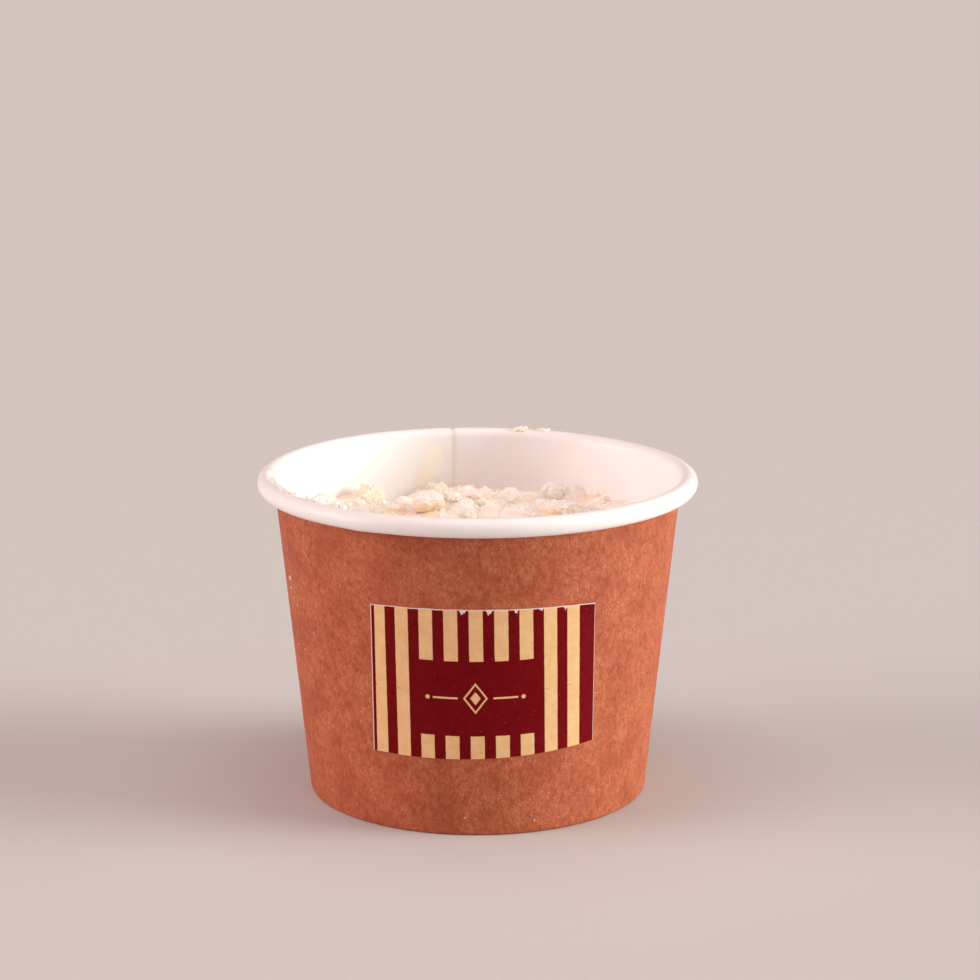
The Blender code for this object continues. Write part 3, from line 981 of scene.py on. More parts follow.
@dataclass
class PaperCup(SubAssembly):
    """The cup: a kraft ply and a white ply that are one sheet, and a raised base in its foot."""

    ply: float = 0.19 * MM
    columns: int = 240
    wall_rows: int = 26
    roll_rows: int = 44
    fold_rows: int = 7
    leg_rows: int = 6           # of the sheet's end, turned up inside the foot
    ramp_columns: int = 8       # of the step up to the lap
    lap_columns: int = 6
    seam: float = math.radians(98)
    seam_width: float = 8.0 * MM
    seam_ramp: float = math.radians(2.2)
    seam_rise: float = 0.27 * MM
    seam_bottom: float = 1.3 * MM
    roundness_error: tuple[tuple[int, float, float], ...] = (
        (2, 0.10 * MM, 0.7), (3, 0.05 * MM, 2.1), (5, 0.025 * MM, 0.4),
    )
    droop: tuple[tuple[int, float, float], ...] = ((2, 0.07 * MM, 1.9), (3, 0.05 * MM, 0.3))
    fade_in: int = 8            # the power by which the rim's unevenness dies away down the wall
    crimp: float = 0.012 * MM
    crimps: float = 22.0        # to the radian
    kink_azimuth: float = math.radians(238.5)
    kink: float = 0.16 * MM
    kink_reach: float = math.radians(4.5)
    kinked_above: float = 0.9   # in the cup's height
    kink_push: tuple[float, float] = (0.4, 0.5)     # its share outward and down
    base_columns: int = 192
    base_shares: tuple[float, ...] = (0.0, 0.15, 0.3, 0.45, 0.6, 0.7, 0.76, 0.8, 0.84, 0.9)
    pressed_depth: float = 0.12 * MM
    pressed_slope: tuple[float, float] = (0.80, 0.06)   # its outer edge and its width, as shares
    rib_count: int = 132
    rib_size: tuple[float, float, float] = (0.24 * MM, 0.34 * MM, 3.0 * MM)
    rib_lift: float = 0.3 * MM  # above the middle of the foot

    def section(self) -> list[Vector]:
        """Return the middle of the sheet, from its edge in the foot up the wall to the roll's.

        Returns:
            The points of the section, each a radius and a height.
        """
        form = self.form
        fold_depth = 2 * (form.board + form.gap)
        bend = form.board / 2 + form.fold_radius
        inner = Vector((form.sheet_radius(bend, fold_depth) + form.fold_radius, bend))
        outer = Vector((form.sheet_radius(bend) - form.fold_radius, bend))
        step = (bend - form.foot_height) / self.leg_rows
        leg = [form.foot_height + step * row for row in range(self.leg_rows)]
        points = [Vector((form.sheet_radius(height, fold_depth), height)) for height in leg]
        points += arc(inner, form.fold_radius, -math.pi - form.slant, -math.pi / 2, self.fold_rows)
        points += arc(outer, form.fold_radius, -math.pi / 2, -form.slant, self.fold_rows)
        roll_start = form.roll_start - form.slant
        roll = arc(form.roll_centre, form.roll_radius, roll_start, form.roll_end, self.roll_rows)
        low, high = points[-1], roll[0]
        points += [low.lerp(high, row / self.wall_rows) for row in range(1, self.wall_rows)]
        return points + roll

    def azimuths(self) -> tuple[list[float], list[float]]:
        """Return the columns' azimuths: once round from the seam, and on over the lap.

        Returns:
            The azimuths once round, and those of the lap.
        """
        last = self.seam + math.tau
        columns, ramp_columns = self.columns, self.ramp_columns
        around = [self.seam + math.tau * column / columns for column in range(columns + 1)]
        ramp = [last - self.seam_ramp * step / ramp_columns for step in range(1, ramp_columns)]
        lap = self.seam_width / self.form.outer_radius(self.form.height / 2)
        steps = range(1, self.lap_columns + 1)
        return sorted(around + ramp), [last + lap * step / self.lap_columns for step in steps]

    def unevenness(self, azimuth: float, height: float) -> tuple[float, float]:
        """Return how far the sheet is pushed outward and up at a place, as hands leave a rim.

        Args:
            azimuth: Where round the cup.
            height: How high up the cup.

        Returns:
            The push outward and the push up.
        """
        share = (height / self.form.height) ** self.fade_in
        out = sum(
            size * math.cos(lobes * azimuth + start)
            for lobes, size, start in self.roundness_error
        )
        out += self.crimp * noise.noise(Vector((azimuth * self.crimps, 0.0, 4.0)))
        up = sum(
            size * math.cos(lobes * azimuth + start)
            for lobes, size, start in self.droop
        )
        off_kink = (azimuth % math.tau - self.kink_azimuth) / self.kink_reach
        at_rim = height > self.kinked_above * self.form.height
        pinch = self.kink * math.exp(-off_kink * off_kink) if at_rim else 0.0
        outward, down = self.kink_push
        return share * out + outward * pinch, share * up - down * pinch

    def ply_mesh(self, side: float) -> bpy.types.Mesh:
        """Return one ply of the sheet.

        Args:
            side: How far its middle lies from the sheet's, towards the kraft face.

        Returns:
            The closed ply, with the sheet's own coordinates in its `sheet` attribute.
        """
        section = self.section()
        around, lap = self.azimuths()
        middle_radius = self.form.sheet_radius(self.form.height / 2)
        ramp_start = self.seam + math.tau - self.seam_ramp
        points, coordinates, faces, rows = [], [], [], []
        travelled = 0.0
        for number, middle in enumerate(section):
            before, after = section[max(number - 1, 0)], section[min(number + 1, len(section) - 1)]
            along = (after - before).normalized()
            to_kraft = Vector((along.y, -along.x))
            travelled += (middle - before).length
            on_wall = number > len(section) - self.wall_rows - self.roll_rows
            above_fold = middle.y - self.form.fold_radius
            lifted = smooth(above_fold / self.seam_bottom) if on_wall else 0.0
            has_lap = on_wall and lifted >= 1.0
            row = []
            for azimuth in around + (lap if has_lap else []):
                ramp = smooth((azimuth - ramp_start) / self.seam_ramp)
                offset = side + ramp * lifted * self.seam_rise
                out, up = self.unevenness(azimuth, middle.y)
                spot = middle + offset * to_kraft + Vector((out, up))
                row.append(len(points))
                points.append(polar(spot.x, azimuth, spot.y))
                coordinates.append((azimuth * middle_radius, travelled, side))
            rows.append(row)
        for low, high in zip(rows, rows[1:]):
            for column in range(min(len(low), len(high)) - 1):
                faces.append((low[column], low[column + 1], high[column + 1], high[column]))
        mesh = mesh_of(points, faces)
        set_vectors(mesh, "sheet", coordinates)
        return thickened(mesh, self.ply)

    def base_mesh(self) -> bpy.types.Mesh:
        """Return the raised base: a disc, pressed with a shallow ring, and its turned-down flange.

        Returns:
            The closed base, with its own coordinates in its `sheet` attribute.
        """
        form = self.form
        inward = form.board + form.gap
        bend = form.base_lift - form.shoulder_radius
        shoulder = Vector((form.sheet_radius(bend, inward) - form.shoulder_radius, bend))
        edge, slope = self.pressed_slope
        section = []
        for share in self.base_shares:
            pressed = self.pressed_depth * smooth((edge - share) / slope)
            section.append(Vector((shoulder.x * share, form.base_lift - pressed)))
        section += arc(shoulder, form.shoulder_radius, math.pi / 2, 0.0, 8)
        section.append(Vector((form.sheet_radius(inward, inward), inward)))
        points, coordinates, travelled = [], [], 0.0
        for number, spot in enumerate(section):
            travelled += (spot - section[max(number - 1, 0)]).length
            for column in range(self.base_columns + 1):
                azimuth = math.tau * column / self.base_columns
                points.append(polar(spot.x, azimuth, spot.y))
                coordinates.append(polar(travelled, azimuth, 1.0))
        mesh = mesh_of(points, grid_faces(len(section), self.base_columns + 1))
        set_vectors(mesh, "sheet", coordinates)
        shape = bmesh.new()
        shape.from_mesh(mesh)
        bmesh.ops.remove_doubles(shape, verts=shape.verts, dist=1e-6)
        bmesh.ops.recalc_face_normals(shape, faces=shape.faces)
        return thickened(stored(shape), form.board - 0.02 * MM)

    def rib_mesh(self, material: bpy.types.Material) -> bpy.types.Mesh:
        """Return the fine upright ribs that the pressed foot shows inside, made by Geometry Nodes.

        Args:
            material: What the ribs are dressed in.

        Returns:
            All the ribs as one mesh.
        """
        recipe = Recipe("foot_ribs", {
            "Ribs": "NodeSocketInt",
            "Ring Radius": "NodeSocketFloat",
            "Middle Height": "NodeSocketFloat",
            "Rib Size": "NodeSocketVector",
            "Lean": "NodeSocketFloat",
        })
        nodes = recipe.nodes
        ring_inputs = {"Vertices": recipe.given("Ribs"), "Radius": recipe.given("Ring Radius")}
        ring = nodes.add("GeometryNodeMeshCircle", None, ring_inputs)
        lifted_by = nodes.add("ShaderNodeCombineXYZ", None, {"Z": recipe.given("Middle Height")})
        ring = nodes.add("GeometryNodeSetPosition", None, {"Geometry": ring, "Offset": lifted_by})
        rib = nodes.add("GeometryNodeMeshUVSphere", None, {
            "Radius": 0.5, "Segments": 8, "Rings": 7,
        })
        outward = nodes.vectors("MULTIPLY", nodes.add("GeometryNodeInputPosition"), (1.0, 1.0, 0.0))
        facing = nodes.add("FunctionNodeAlignRotationToVector", {"axis": "X", "pivot_axis": "Z"}, {
            "Vector": outward,
        })
        leaning = nodes.add("ShaderNodeCombineXYZ", None, {"Y": recipe.given("Lean")})
        turned = nodes.add("FunctionNodeRotateRotation", {"rotation_space": "LOCAL"}, {
            "Rotation": facing, "Rotate By": leaning,
        })
        recipe.end(nodes.add("GeometryNodeInstanceOnPoints", None, {
            "Points": ring, "Instance": rib, "Rotation": turned, "Scale": recipe.given("Rib Size"),
        }))
        middle = (self.form.foot_height + self.form.fold_radius) / 2 + self.rib_lift
        fold_depth = 2 * (self.form.board + self.form.gap)
        inner_face = self.form.sheet_radius(middle, fold_depth) - self.form.board / 2
        host = bpy.data.meshes.new("no_host")
        return recipe.made_on(host, {
            "Ribs": self.rib_count,
            "Ring Radius": inner_face,
            "Middle Height": middle,
            "Rib Size": self.rib_size,
            "Lean": self.form.slant,
            "Material": material,
        })

    def build(self, kraft: bpy.types.Material, white: bpy.types.Material) -> None:
        """Make the cup's pieces and dress them.

        Args:
            kraft: The material of the sheet's outer face and its foot.
            white: The material of its inner face and the base.
        """
        half_gap = self.form.board / 4
        for name, side, material, slot in (
            ("kraft_ply", half_gap, kraft, Slot.KRAFT),
            ("white_ply", -half_gap, white, Slot.WHITE),
        ):
            item = shown(name, self.ply_mesh(side))
            item.data.materials.append(material)
            self.hand_over(item, slot, "cup_wall")
        base = shown("base_board", self.base_mesh())
        base.data.materials.append(white)
        self.hand_over(base, Slot.WHITE, "cup_base")
        self.hand_over(shown("foot_ribs", self.rib_mesh(kraft)), Slot.KRAFT)


@dataclass
class StripedLabel(SubAssembly):
    """The sticker: thin paper, cut by hand, pressed round the tapered wall."""

    width: float = 38.7 * MM
    height: float = 26.1 * MM
    centre_height: float = 26.8 * MM
    turn: float = math.radians(1.9)
    tilt: float = math.radians(0.5)
    top_fall: float = 0.45 * MM
    top_bow: float = 0.85 * MM
    bottom_rise: float = 0.9 * MM
    thickness: float = 0.11 * MM
    glue: float = 0.03 * MM
    columns: int = 150
    rows: int = 84
    cut_error: float = 0.07 * MM
    cut_wander: float = 14.0    # swells of the cut's error along the label
    lifted_corners: tuple[tuple[float, float, float], ...] = (      # side, end and rise
        (1.0, 1.0, 0.22 * MM), (-1.0, -1.0, 0.14 * MM), (-1.0, 1.0, 0.08 * MM),
    )
    corner_reach: tuple[float, float] = (0.16, 0.22)    # in half widths and half heights

    def on_wall(self, across: float, up: float, proud: float) -> Vector:
        """Return where a point of the flat label lands once it is pressed on the wall.

        Args:
            across: From the label's middle to the right.
            up: From the label's middle upward.
            proud: How far off the wall's outer face.

        Returns:
            The point.
        """
        form = self.form
        turned = Matrix.Rotation(self.tilt, 2) @ Vector((across, up))
        to_centre = (form.outer_radius(self.centre_height) + proud) / math.sin(form.slant)
        flat = Vector((turned.x, to_centre + turned.y))
        azimuth = FRONT + math.atan2(flat.x, flat.y) / math.sin(form.slant) + self.turn
        height = self.centre_height + (flat.length - to_centre) * math.cos(form.slant)
        return polar(flat.length * math.sin(form.slant), azimuth, height)

    def cut_edges(self, along: float) -> tuple[float, float]:
        """Return the bottom and the top edge's height at a share of the width from the middle.

        Args:
            along: The share of the width, from -0.5 at the left to 0.5 at the right.

        Returns:
            The two heights, from the label's middle.
        """
        wander = self.cut_error * noise.noise(Vector((along * self.cut_wander, 3.0, 0.0)))
        top = self.height / 2 - self.top_fall * along - self.top_bow * (2 * along) ** 2 + wander
        return -self.height / 2 + self.bottom_rise * along, top

    def lift(self, along: float, up: float) -> float:
        """Return how far the label stands off the wall: glued, but for three of its corners.

        Args:
            along: The share of the width, from -0.5 to 0.5.
            up: The share of the height, from 0 to 1.

        Returns:
            The distance off the wall's outer face.
        """
        off = self.glue
        wide, high = self.corner_reach
        for side, end, rise in self.lifted_corners:
            away = math.hypot((1.0 - side * 2 * along) / wide, (1.0 - end * (2 * up - 1.0)) / high)
            off += rise * (1.0 - smooth(away))
        return off

    def build(self, ink: bpy.types.Material, paper: bpy.types.Material) -> None:
        """Make the label and dress it.

        Args:
            ink: The material of both faces.
            paper: The material of the cut edges.
        """
        points, coordinates = [], []
        for row in range(self.rows + 1):
            up = row / self.rows
            for column in range(self.columns + 1):
                along = column / self.columns - 0.5
                bottom, top = self.cut_edges(along)
                flat_up = bottom + (top - bottom) * up
                proud = self.lift(along, up) + self.thickness / 2
                points.append(self.on_wall(along * self.width, flat_up, proud))
                across = (along + 0.5) * self.width
                coordinates.append((across, flat_up + self.height / 2, top - flat_up))
        mesh = mesh_of(points, grid_faces(self.rows + 1, self.columns + 1))
        set_vectors(mesh, "print", coordinates)
        for material in (ink, paper):
            mesh.materials.append(material)
        label = shown("striped_label", thickened(mesh, self.thickness, 1))
        self.hand_over(label, Slot.LABEL, "label")


@dataclass(frozen=True)
class Topping:
    """One kind of piece on the sweet: the few that stand out, then others spread evenly."""

    count: int
    smallest: float
    largest: float
    clear: float
    seed: int
    seen: tuple[tuple[float, float, float], ...]    # x, y and size in millimetres

    def pieces(self, reach: float) -> list[tuple[Vector, float]]:
        """Return the place and size of each piece, laid out within a reach as on the solid.

        Args:
            reach: The radius that the pieces keep within.

        Returns:
            The place and the size of each piece, in metres.
        """
        found = [(Vector((x, y)) * MM, size * MM) for x, y, size in self.seen]
        draw = random.Random(self.seed)
        while len(found) < self.count:
            radius = reach * math.sqrt(draw.random())
            turn = draw.uniform(0.0, math.tau)
            place = Vector((radius * math.cos(turn), radius * math.sin(turn)))
            if all((place - other).length > self.clear for other, _ in found):
                found.append((place, draw.uniform(self.smallest, self.largest)))
        return found


@dataclass(frozen=True)
class Strewing:
    """One size of the loose powder that is strewn over a mesh."""

    name: str
    density: float                  # pieces to the square metre, where the mesh catches most
    sizes: tuple[float, float]      # the smallest and the largest
    faces: tuple[int, int]          # segments and rings of each piece
    roughening: float
    sink: float                     # how deep each piece sits, in its own sizes
    seed: int
    proportions: tuple[float, float, float] = (1.0, 1.0, 0.85)
    FLAT_UP_TO = 6                  # segments, past which a piece is shaded smooth

    def over(self, host: bpy.types.Mesh, material: bpy.types.Material) -> bpy.types.Mesh:
        """Return the pieces strewn over a mesh, thickest where its `catch` is 1.

        Args:
            host: What they are strewn over, which stays as it is.
            material: What they are dressed in.

        Returns:
            The pieces as one mesh.
        """
        segments, rings = self.faces
        return strewing_recipe().made_on(host, {
            "Density": self.density, "Smallest": self.sizes[0], "Largest": self.sizes[1],
            "Segments": segments, "Rings": rings, "Roughening": self.roughening, "Sink": self.sink,
            "Smooth": segments > self.FLAT_UP_TO, "Seed": self.seed,
            "Proportions": self.proportions, "Material": material,
        })


@dataclass
class Sweet(SubAssembly):
    """The sweet up to its uneven surface, its torn chunks, and the powder that has set on it."""

    fill_level: float = 45.0 * MM
    heap: tuple[float, float, float, float] = (2.5 * MM, -1.0 * MM, 10.0 * MM, 15.0 * MM)
    scoop_depth: float = 2.4 * MM
    scoop_centre: tuple[float, float] = (2.0 * MM, -1.5 * MM)
    scoop_reach: tuple[float, float] = (17.0 * MM, 8.0 * MM)
    scoop_turn: float = math.radians(-12)
    swell: tuple[float, float, float] = (1.1 * MM, 12.0 * MM, 3.1)
    clods: tuple[float, float, float] = (1.5 * MM, 4.6 * MM, 8.6)
    drifts: tuple[tuple[float, float, float, float], ...] = (   # x, y, height and reach in mm
        (-28.5, 17.0, 1.8, 5.5), (-19.8, 23.0, 1.1, 2.6), (-14.8, 27.0, -2.4, 4.0),
        (-13.5, 17.5, -1.7, 4.0), (0.0, 24.0, -0.9, 6.0), (1.0, 15.5, -0.5, 6.0),
        (-7.0, 30.5, 0.6, 2.5), (8.0, 30.0, -2.6, 5.5), (9.8, 21.5, -1.6, 3.5),
        (16.5, 27.0, 1.3, 3.5), (16.8, 2.2, 1.0, 3.0),
    )
    crust: tuple[tuple[float, float], ...] = (                  # rise and spacing of its grains
        (0.46 * MM, 2.1 * MM), (0.20 * MM, 1.0 * MM),
    )
    patches: tuple[tuple[float, float, float], ...] = (         # of powder: size, weight and layer
        (6.0 * MM, 1.0, 21.7), (2.2 * MM, 0.5, 5.3),
    )
    powder_contrast: float = 1.6
    powder_lead: float = 0.34           # how much more of it lies outside the trough
    bare: tuple[tuple[float, float, float], ...] = (            # x, y and reach in mm
        (17.2, 5.6, 4.2), (11.6, 6.6, 2.8),
    )
    bareness: float = 0.8
    scatter_reach: float = 30.5 * MM
    lump_lift: float = 0.08             # how high a lump's middle lies, in its own sizes
    wall_clear: float = 0.6 * MM
    core_cells: int = 270
    core_sides: tuple[float, ...] = (0.3, 0.65, 1.0)    # its rows' shares of the way down
    core_amber: float = 0.45
    press: float = 0.06 * MM            # how far it reaches into the wall, so that no gap shows
    chunks: Topping = Topping(
        count=9, smallest=3.6 * MM, largest=5.0 * MM, clear=10.0 * MM, seed=11,
        seen=((-8.6, 9.3, 5.2), (-14.3, 8.6, 3.6)),
    )
    clots: Topping = Topping(
        count=60, smallest=1.6 * MM, largest=3.1 * MM, clear=3.4 * MM, seed=12,
        seen=(
            (-1.5, 15.0, 4.2), (5.6, 18.0, 4.0), (8.0, 25.0, 3.0), (13.6, 25.6, 3.8),
            (-19.1, 22.2, 4.6), (-7.3, 30.2, 3.9), (-13.0, 14.6, 3.3),
        ),
    )
    shreds: Topping = Topping(
        count=15, smallest=2.2 * MM, largest=3.6 * MM, clear=5.0 * MM, seed=13,
        seen=((9.0, 3.2, 3.2), (10.0, 3.9, 3.0), (12.2, 3.4, 2.5)),
    )
    shred_width: float = 0.6 * MM
    shred_thickness: float = 0.32 * MM
    shred_ripple: float = 0.12 * MM
    shred_bend: tuple[float, float] = (0.4, 1.3)
    shred_rows: int = 5
    shred_tint: float = 0.1
    shred_catch: float = 1.6
    curl_thickness: float = 0.48 * MM
    curl_place: tuple[float, float] = (16.8 * MM, 2.2 * MM)
    curl_length: float = 8.1 * MM
    curl_bend: float = 4.7
    curl_crown: float = 48.9 * MM       # the top of its arch
    yellow_clots: tuple[int, ...] = (4, 5)
    clot_tint: float = 0.7              # how yellow the others are at most
    plain_amber: float = 0.35           # how amber the torn pieces are that do not stand out
    chunk_turn: float = 0.12            # radians, of those that do
    chunk_style: LumpStyle = LumpStyle(
        detail=5, flatness=0.62, squareness=3.2, swell=0.25, grain=0.22 * MM,
        grain_spacing=0.9 * MM, lean=0.2,
    )
    clot_style: LumpStyle = LumpStyle(
        detail=4, flatness=0.80, squareness=2.4, swell=0.35, grain=0.30 * MM,
        grain_spacing=0.80 * MM,
    )

    def broad_height(self, x: float, y: float) -> float:
        """Return the height of the solid's surface: heaped, scooped, swelling and clodded.

        Args:
            x: Where along X.
            y: Where along Y.

        Returns:
            The height above the table.
        """
        rise, heap_x, heap_y, reach = self.heap
        heap = rise * mound(x, y, heap_x, heap_y, reach)
        height, spacing, layer = self.swell
        place = Vector((x / spacing, y / spacing, layer))
        swell = height * noise.noise(place, noise_basis="PERLIN_NEW")
        height, spacing, layer = self.clods
        clods = height * (domes(Vector((x / spacing, y / spacing, layer))) - 0.5)
        drifts = sum(
            height * MM * mound(x, y, across * MM, back * MM, reach * MM)
            for across, back, height, reach in self.drifts
        )
        scooped = self.scoop_depth * self.in_scoop(x, y)
        return self.fill_level + heap - scooped + swell + clods + drifts

    def in_scoop(self, x: float, y: float) -> float:
        """Return how deep in the scooped trough a place is, from 0 to 1.

        Args:
            x: Where along X.
            y: Where along Y.

        Returns:
            0 outside the trough, and 1 along its middle.
        """
        off = Vector((x - self.scoop_centre[0], y - self.scoop_centre[1]))
        off = Matrix.Rotation(-self.scoop_turn, 2) @ off
        share = Vector((off.x / self.scoop_reach[0], off.y / self.scoop_reach[1])).length
        return math.exp(-(share**4))

    def powder_share(self, x: float, y: float) -> float:
        """Return how much powder lies at a place, from 0, the bare sweet, to 1.

        Args:
            x: Where along X.
            y: Where along Y.

        Returns:
            The powder's share.
        """
        patches = sum(
            weight * noise.noise(Vector((x / size, y / size, layer)))
            for size, weight, layer in self.patches
        )
        patches -= sum(
            self.bareness * mound(x, y, across * MM, back * MM, reach * MM)
            for across, back, reach in self.bare
        )
        lead = self.powder_lead
        return smooth(0.5 + self.powder_contrast * (patches + lead - lead * self.in_scoop(x, y)))

    def seat(self, place: Vector, lift: float = 0.0) -> Vector:
        """Return the surface's point at a place, raised by `lift`."""
        return Vector((place.x, place.y, self.broad_height(place.x, place.y) + lift))

    def core_mesh(self) -> bpy.types.Mesh:
        """Return the sweet's own body, its top as a fine grid of concentric squares made round.

        Returns:
            The closed body, with `powder`, `amber` and `catch` at each point.
        """
        cells = self.core_cells
        radius = self.form.inner_radius(self.fill_level) + self.press
        points, powder = [], []
        for row in range(cells + 1):
            for column in range(cells + 1):
                x, y = disc_point(2 * column / cells - 1, 2 * row / cells - 1)
                share = self.powder_share(x * radius, y * radius)
                height = self.broad_height(x * radius, y * radius)
                for rise, spacing in self.crust:
                    place = Vector((x * radius / spacing, y * radius / spacing, height / spacing))
                    height += share * rise * (domes(place) - 0.4)
                reach = self.form.inner_radius(height) + self.press
                points.append((x * reach, y * reach, height))
                powder.append(share)
        faces = grid_faces(cells + 1, cells + 1)
        border = list(range(cells))
        border += [row * (cells + 1) + cells for row in range(cells)]
        border += [cells * (cells + 1) + cells - column for column in range(cells)]
        border += [(cells - row) * (cells + 1) for row in range(cells)]
        top_points = len(points)
        bottom = self.form.base_lift + self.form.board / 2 + 0.05 * MM
        ring = border
        for share in self.core_sides:
            below = []
            for corner in border:
                x, y, height = points[corner]
                level = height + (bottom - height) * share
                reach = (self.form.inner_radius(level) + self.press) / math.hypot(x, y)
                below.append(len(points))
                points.append((x * reach, y * reach, level))
            for side in range(len(ring)):
                following = (side + 1) % len(ring)
                faces.append((ring[following], ring[side], below[side], below[following]))
            ring = below
        faces.append(tuple(reversed(ring)))
        mesh = mesh_of(points, faces)
        below_top = [0.0] * (len(points) - top_points)
        set_numbers(mesh, "powder", powder + below_top)
        amber = [self.core_amber * (1.0 - share) for share in powder]
        set_numbers(mesh, "amber", amber + below_top)
        set_numbers(mesh, "catch", [
            share if math.hypot(x, y) < self.form.inner_radius(height) - self.wall_clear else 0.0
            for (x, y, height), share in zip(points, powder + below_top)
        ])
        return mesh

    def chunk_mesh(self) -> bpy.types.Mesh:
        """Return the torn pieces: amber on their broken sides, powdered where they face up.

        Returns:
            The torn pieces as one mesh.
        """
        draw = random.Random(self.chunks.seed)
        batch = LumpBatch(draw)
        for index, (place, size) in enumerate(self.chunks.pieces(self.scatter_reach)):
            stands_out = index < len(self.chunks.seen)
            tint, turn = (1.0, self.chunk_turn) if stands_out else (self.plain_amber, None)
            batch.add(self.chunk_style, self.seat(place, self.lump_lift * size), size, tint, turn)

        def powder(place: Vector, normal: Vector) -> float:
            """Return the powder's share: on top, and in a few streaks down the sides."""
            streak = noise.noise(place / (1.1 * MM))
            return smooth((normal.z - 0.42 + 0.5 * streak) / 0.4)

        return batch.finish(powder)

    def clot_mesh(self) -> bpy.types.Mesh:
        """Return the larger clots of powder, of which a few are yellow.

        Returns:
            The clots as one mesh.
        """
        draw = random.Random(self.clots.seed)
        batch = LumpBatch(draw)
        for index, (place, size) in enumerate(self.clots.pieces(self.scatter_reach)):
            tint = 1.0 if index in self.yellow_clots else draw.random() ** 2 * self.clot_tint
            style = self.clot_style if index < len(self.clots.seen) else SMALL_CLOT
            batch.add(style, self.seat(place, self.lump_lift * size), size, tint)
        return batch.finish()

    def shred_mesh(self) -> bpy.types.Mesh:
        """Return the flakes and the long curl that stand on the powder.

        Returns:
            The flakes and the curl as one mesh.
        """
        draw = random.Random(self.shreds.seed)
        parts = []
        for place, length in self.shreds.pieces(self.scatter_reach):
            bend, turn = draw.uniform(*self.shred_bend), draw.uniform(0.0, math.tau)
            parts.append(self.strip(place, length, bend, turn, len(parts)))
        curl, length, bend = Vector(self.curl_place), self.curl_length, self.curl_bend
        parts.append(self.strip(curl, length, bend, 0.0, len(parts), self.curl_crown))
        return joined(parts)

    def strip(
        self,
        place: Vector,
        length: float,
        bend: float,
        turn: float,
        number: int,
        crown: float | None = None,
    ) -> bpy.types.Mesh:
        """Return one bent flake.

        Args:
            place: Where it starts in the surface, at its middle.
            length: Its length.
            bend: The radians that it curls through.
            turn: Its turn about Z.
            number: Which flake it is, for its own ragged edge.
            crown: The height that it arches up to, or None where it curls up out of the surface.

        Returns:
            The flake, as a closed mesh.
        """
        columns, rows = 10 + round(8 * bend), self.shred_rows
        radius = length / bend
        swing = Matrix.Rotation(turn, 3, "Z")
        seat = self.seat(place)
        points = []
        for row in range(rows):
            for column in range(columns):
                along = column / (columns - 1) - 0.5
                edge = Vector((along * length / MM * 1.6, row * 0.2, number * 3.7))
                ragged = 1.0 + 0.6 * noise.noise(edge)
                taper = 1.0 - 0.75 * abs(2 * along) ** 4
                width = self.shred_width * (row / (rows - 1) - 0.5) * ragged * taper * 1.3
                ripple = noise.noise(Vector((along * 9.0, row * 0.8, number * 5.1)))
                reach = radius + self.shred_ripple * ripple
                angle = along * bend
                bent = Vector((reach * math.sin(angle), width, radius - reach * math.cos(angle)))
                spot = swing @ bent + seat
                if crown is not None:
                    spot.z = crown - bent.z
                points.append(spot)
        mesh = mesh_of(points, grid_faces(rows, columns))
        set_numbers(mesh, "tint", [self.shred_tint] * len(points))
        set_numbers(mesh, "catch", [self.shred_catch] * len(points))
        return thickened(mesh, self.shred_thickness if crown is None else self.curl_thickness)

    def build(self, cream: bpy.types.Material, powder: bpy.types.Material) -> None:
        """Make the sweet's pieces and dress them.

        Args:
            cream: The material of the sweet itself.
            powder: The material of the milk powder.
        """
        core, chunks = self.core_mesh(), self.chunk_mesh()
        clots, flakes = self.clot_mesh(), self.shred_mesh()
        ground = joined([core, chunks, clots, flakes])
        for name, mesh, material, slot in (
            ("sweet_core", core, cream, Slot.SWEET),
            ("sweet_chunks", chunks, cream, Slot.SWEET),
            ("powder_clots", clots, powder, Slot.POWDER),
            ("powder_flakes", flakes, powder, Slot.POWDER),
        ):
            mesh.materials.append(material)
            self.hand_over(shown(name, mesh), slot, "brigadeiro")
        for strewing in STREWN:
            pieces = shown(strewing.name, strewing.over(ground, powder))
            self.hand_over(pieces, Slot.POWDER, "brigadeiro")


SMALL_CLOT = LumpStyle(
    detail=4, flatness=0.80, swell=0.35, grain=0.26 * MM, grain_spacing=0.70 * MM,
)

NEEDLE = (0.24, 0.19, 1.6)      # a needle's proportions
STREWN = (
    Strewing("powder_crumbs", 420e3, (0.36 * MM, 1.00 * MM), (8, 6), 0.36, 0.15, 3),
    Strewing("powder_grains", 2.3e6, (0.20 * MM, 0.44 * MM), (4, 3), 0.25, 0.0, 5),
    Strewing("powder_fines", 2.5e6, (0.13 * MM, 0.28 * MM), (4, 3), 0.25, 0.0, 11),
    Strewing("powder_needles", 2.0e6, (0.32 * MM, 0.90 * MM), (4, 3), 0.15, 0.0, 7, NEEDLE),
)
RIM_DUST = Strewing("rim_dust", 5.5e6, (0.10 * MM, 0.48 * MM), (6, 4), 0.30, 0.10, 9)


def joined(meshes: Sequence[bpy.types.Mesh]) -> bpy.types.Mesh:
    """Return the meshes as one, with the first one's attributes.

    Args:
        meshes: The meshes, which stay as they are.

    Returns:
        The new mesh.
    """
    shape = bmesh.new()
    for mesh in meshes:
        shape.from_mesh(mesh)
    return stored(shape)


def disc_point(across: float, up: float) -> tuple[float, float]:
    """Return where a point of the square from -1 to 1 lands on the unit disc, evenly spaced.

    Args:
        across: The point's place along X.
        up: The point's place along Y.

    Returns:
        The place on the disc, along X and Y.
    """
    if abs(across) < 1e-9 and abs(up) < 1e-9:
        return 0.0, 0.0
    if abs(across) > abs(up):
        radius, turn = across, math.pi / 4 * up / across
    else:
        radius, turn = up, math.pi / 2 - math.pi / 4 * across / up
    return radius * math.cos(turn), radius * math.sin(turn)


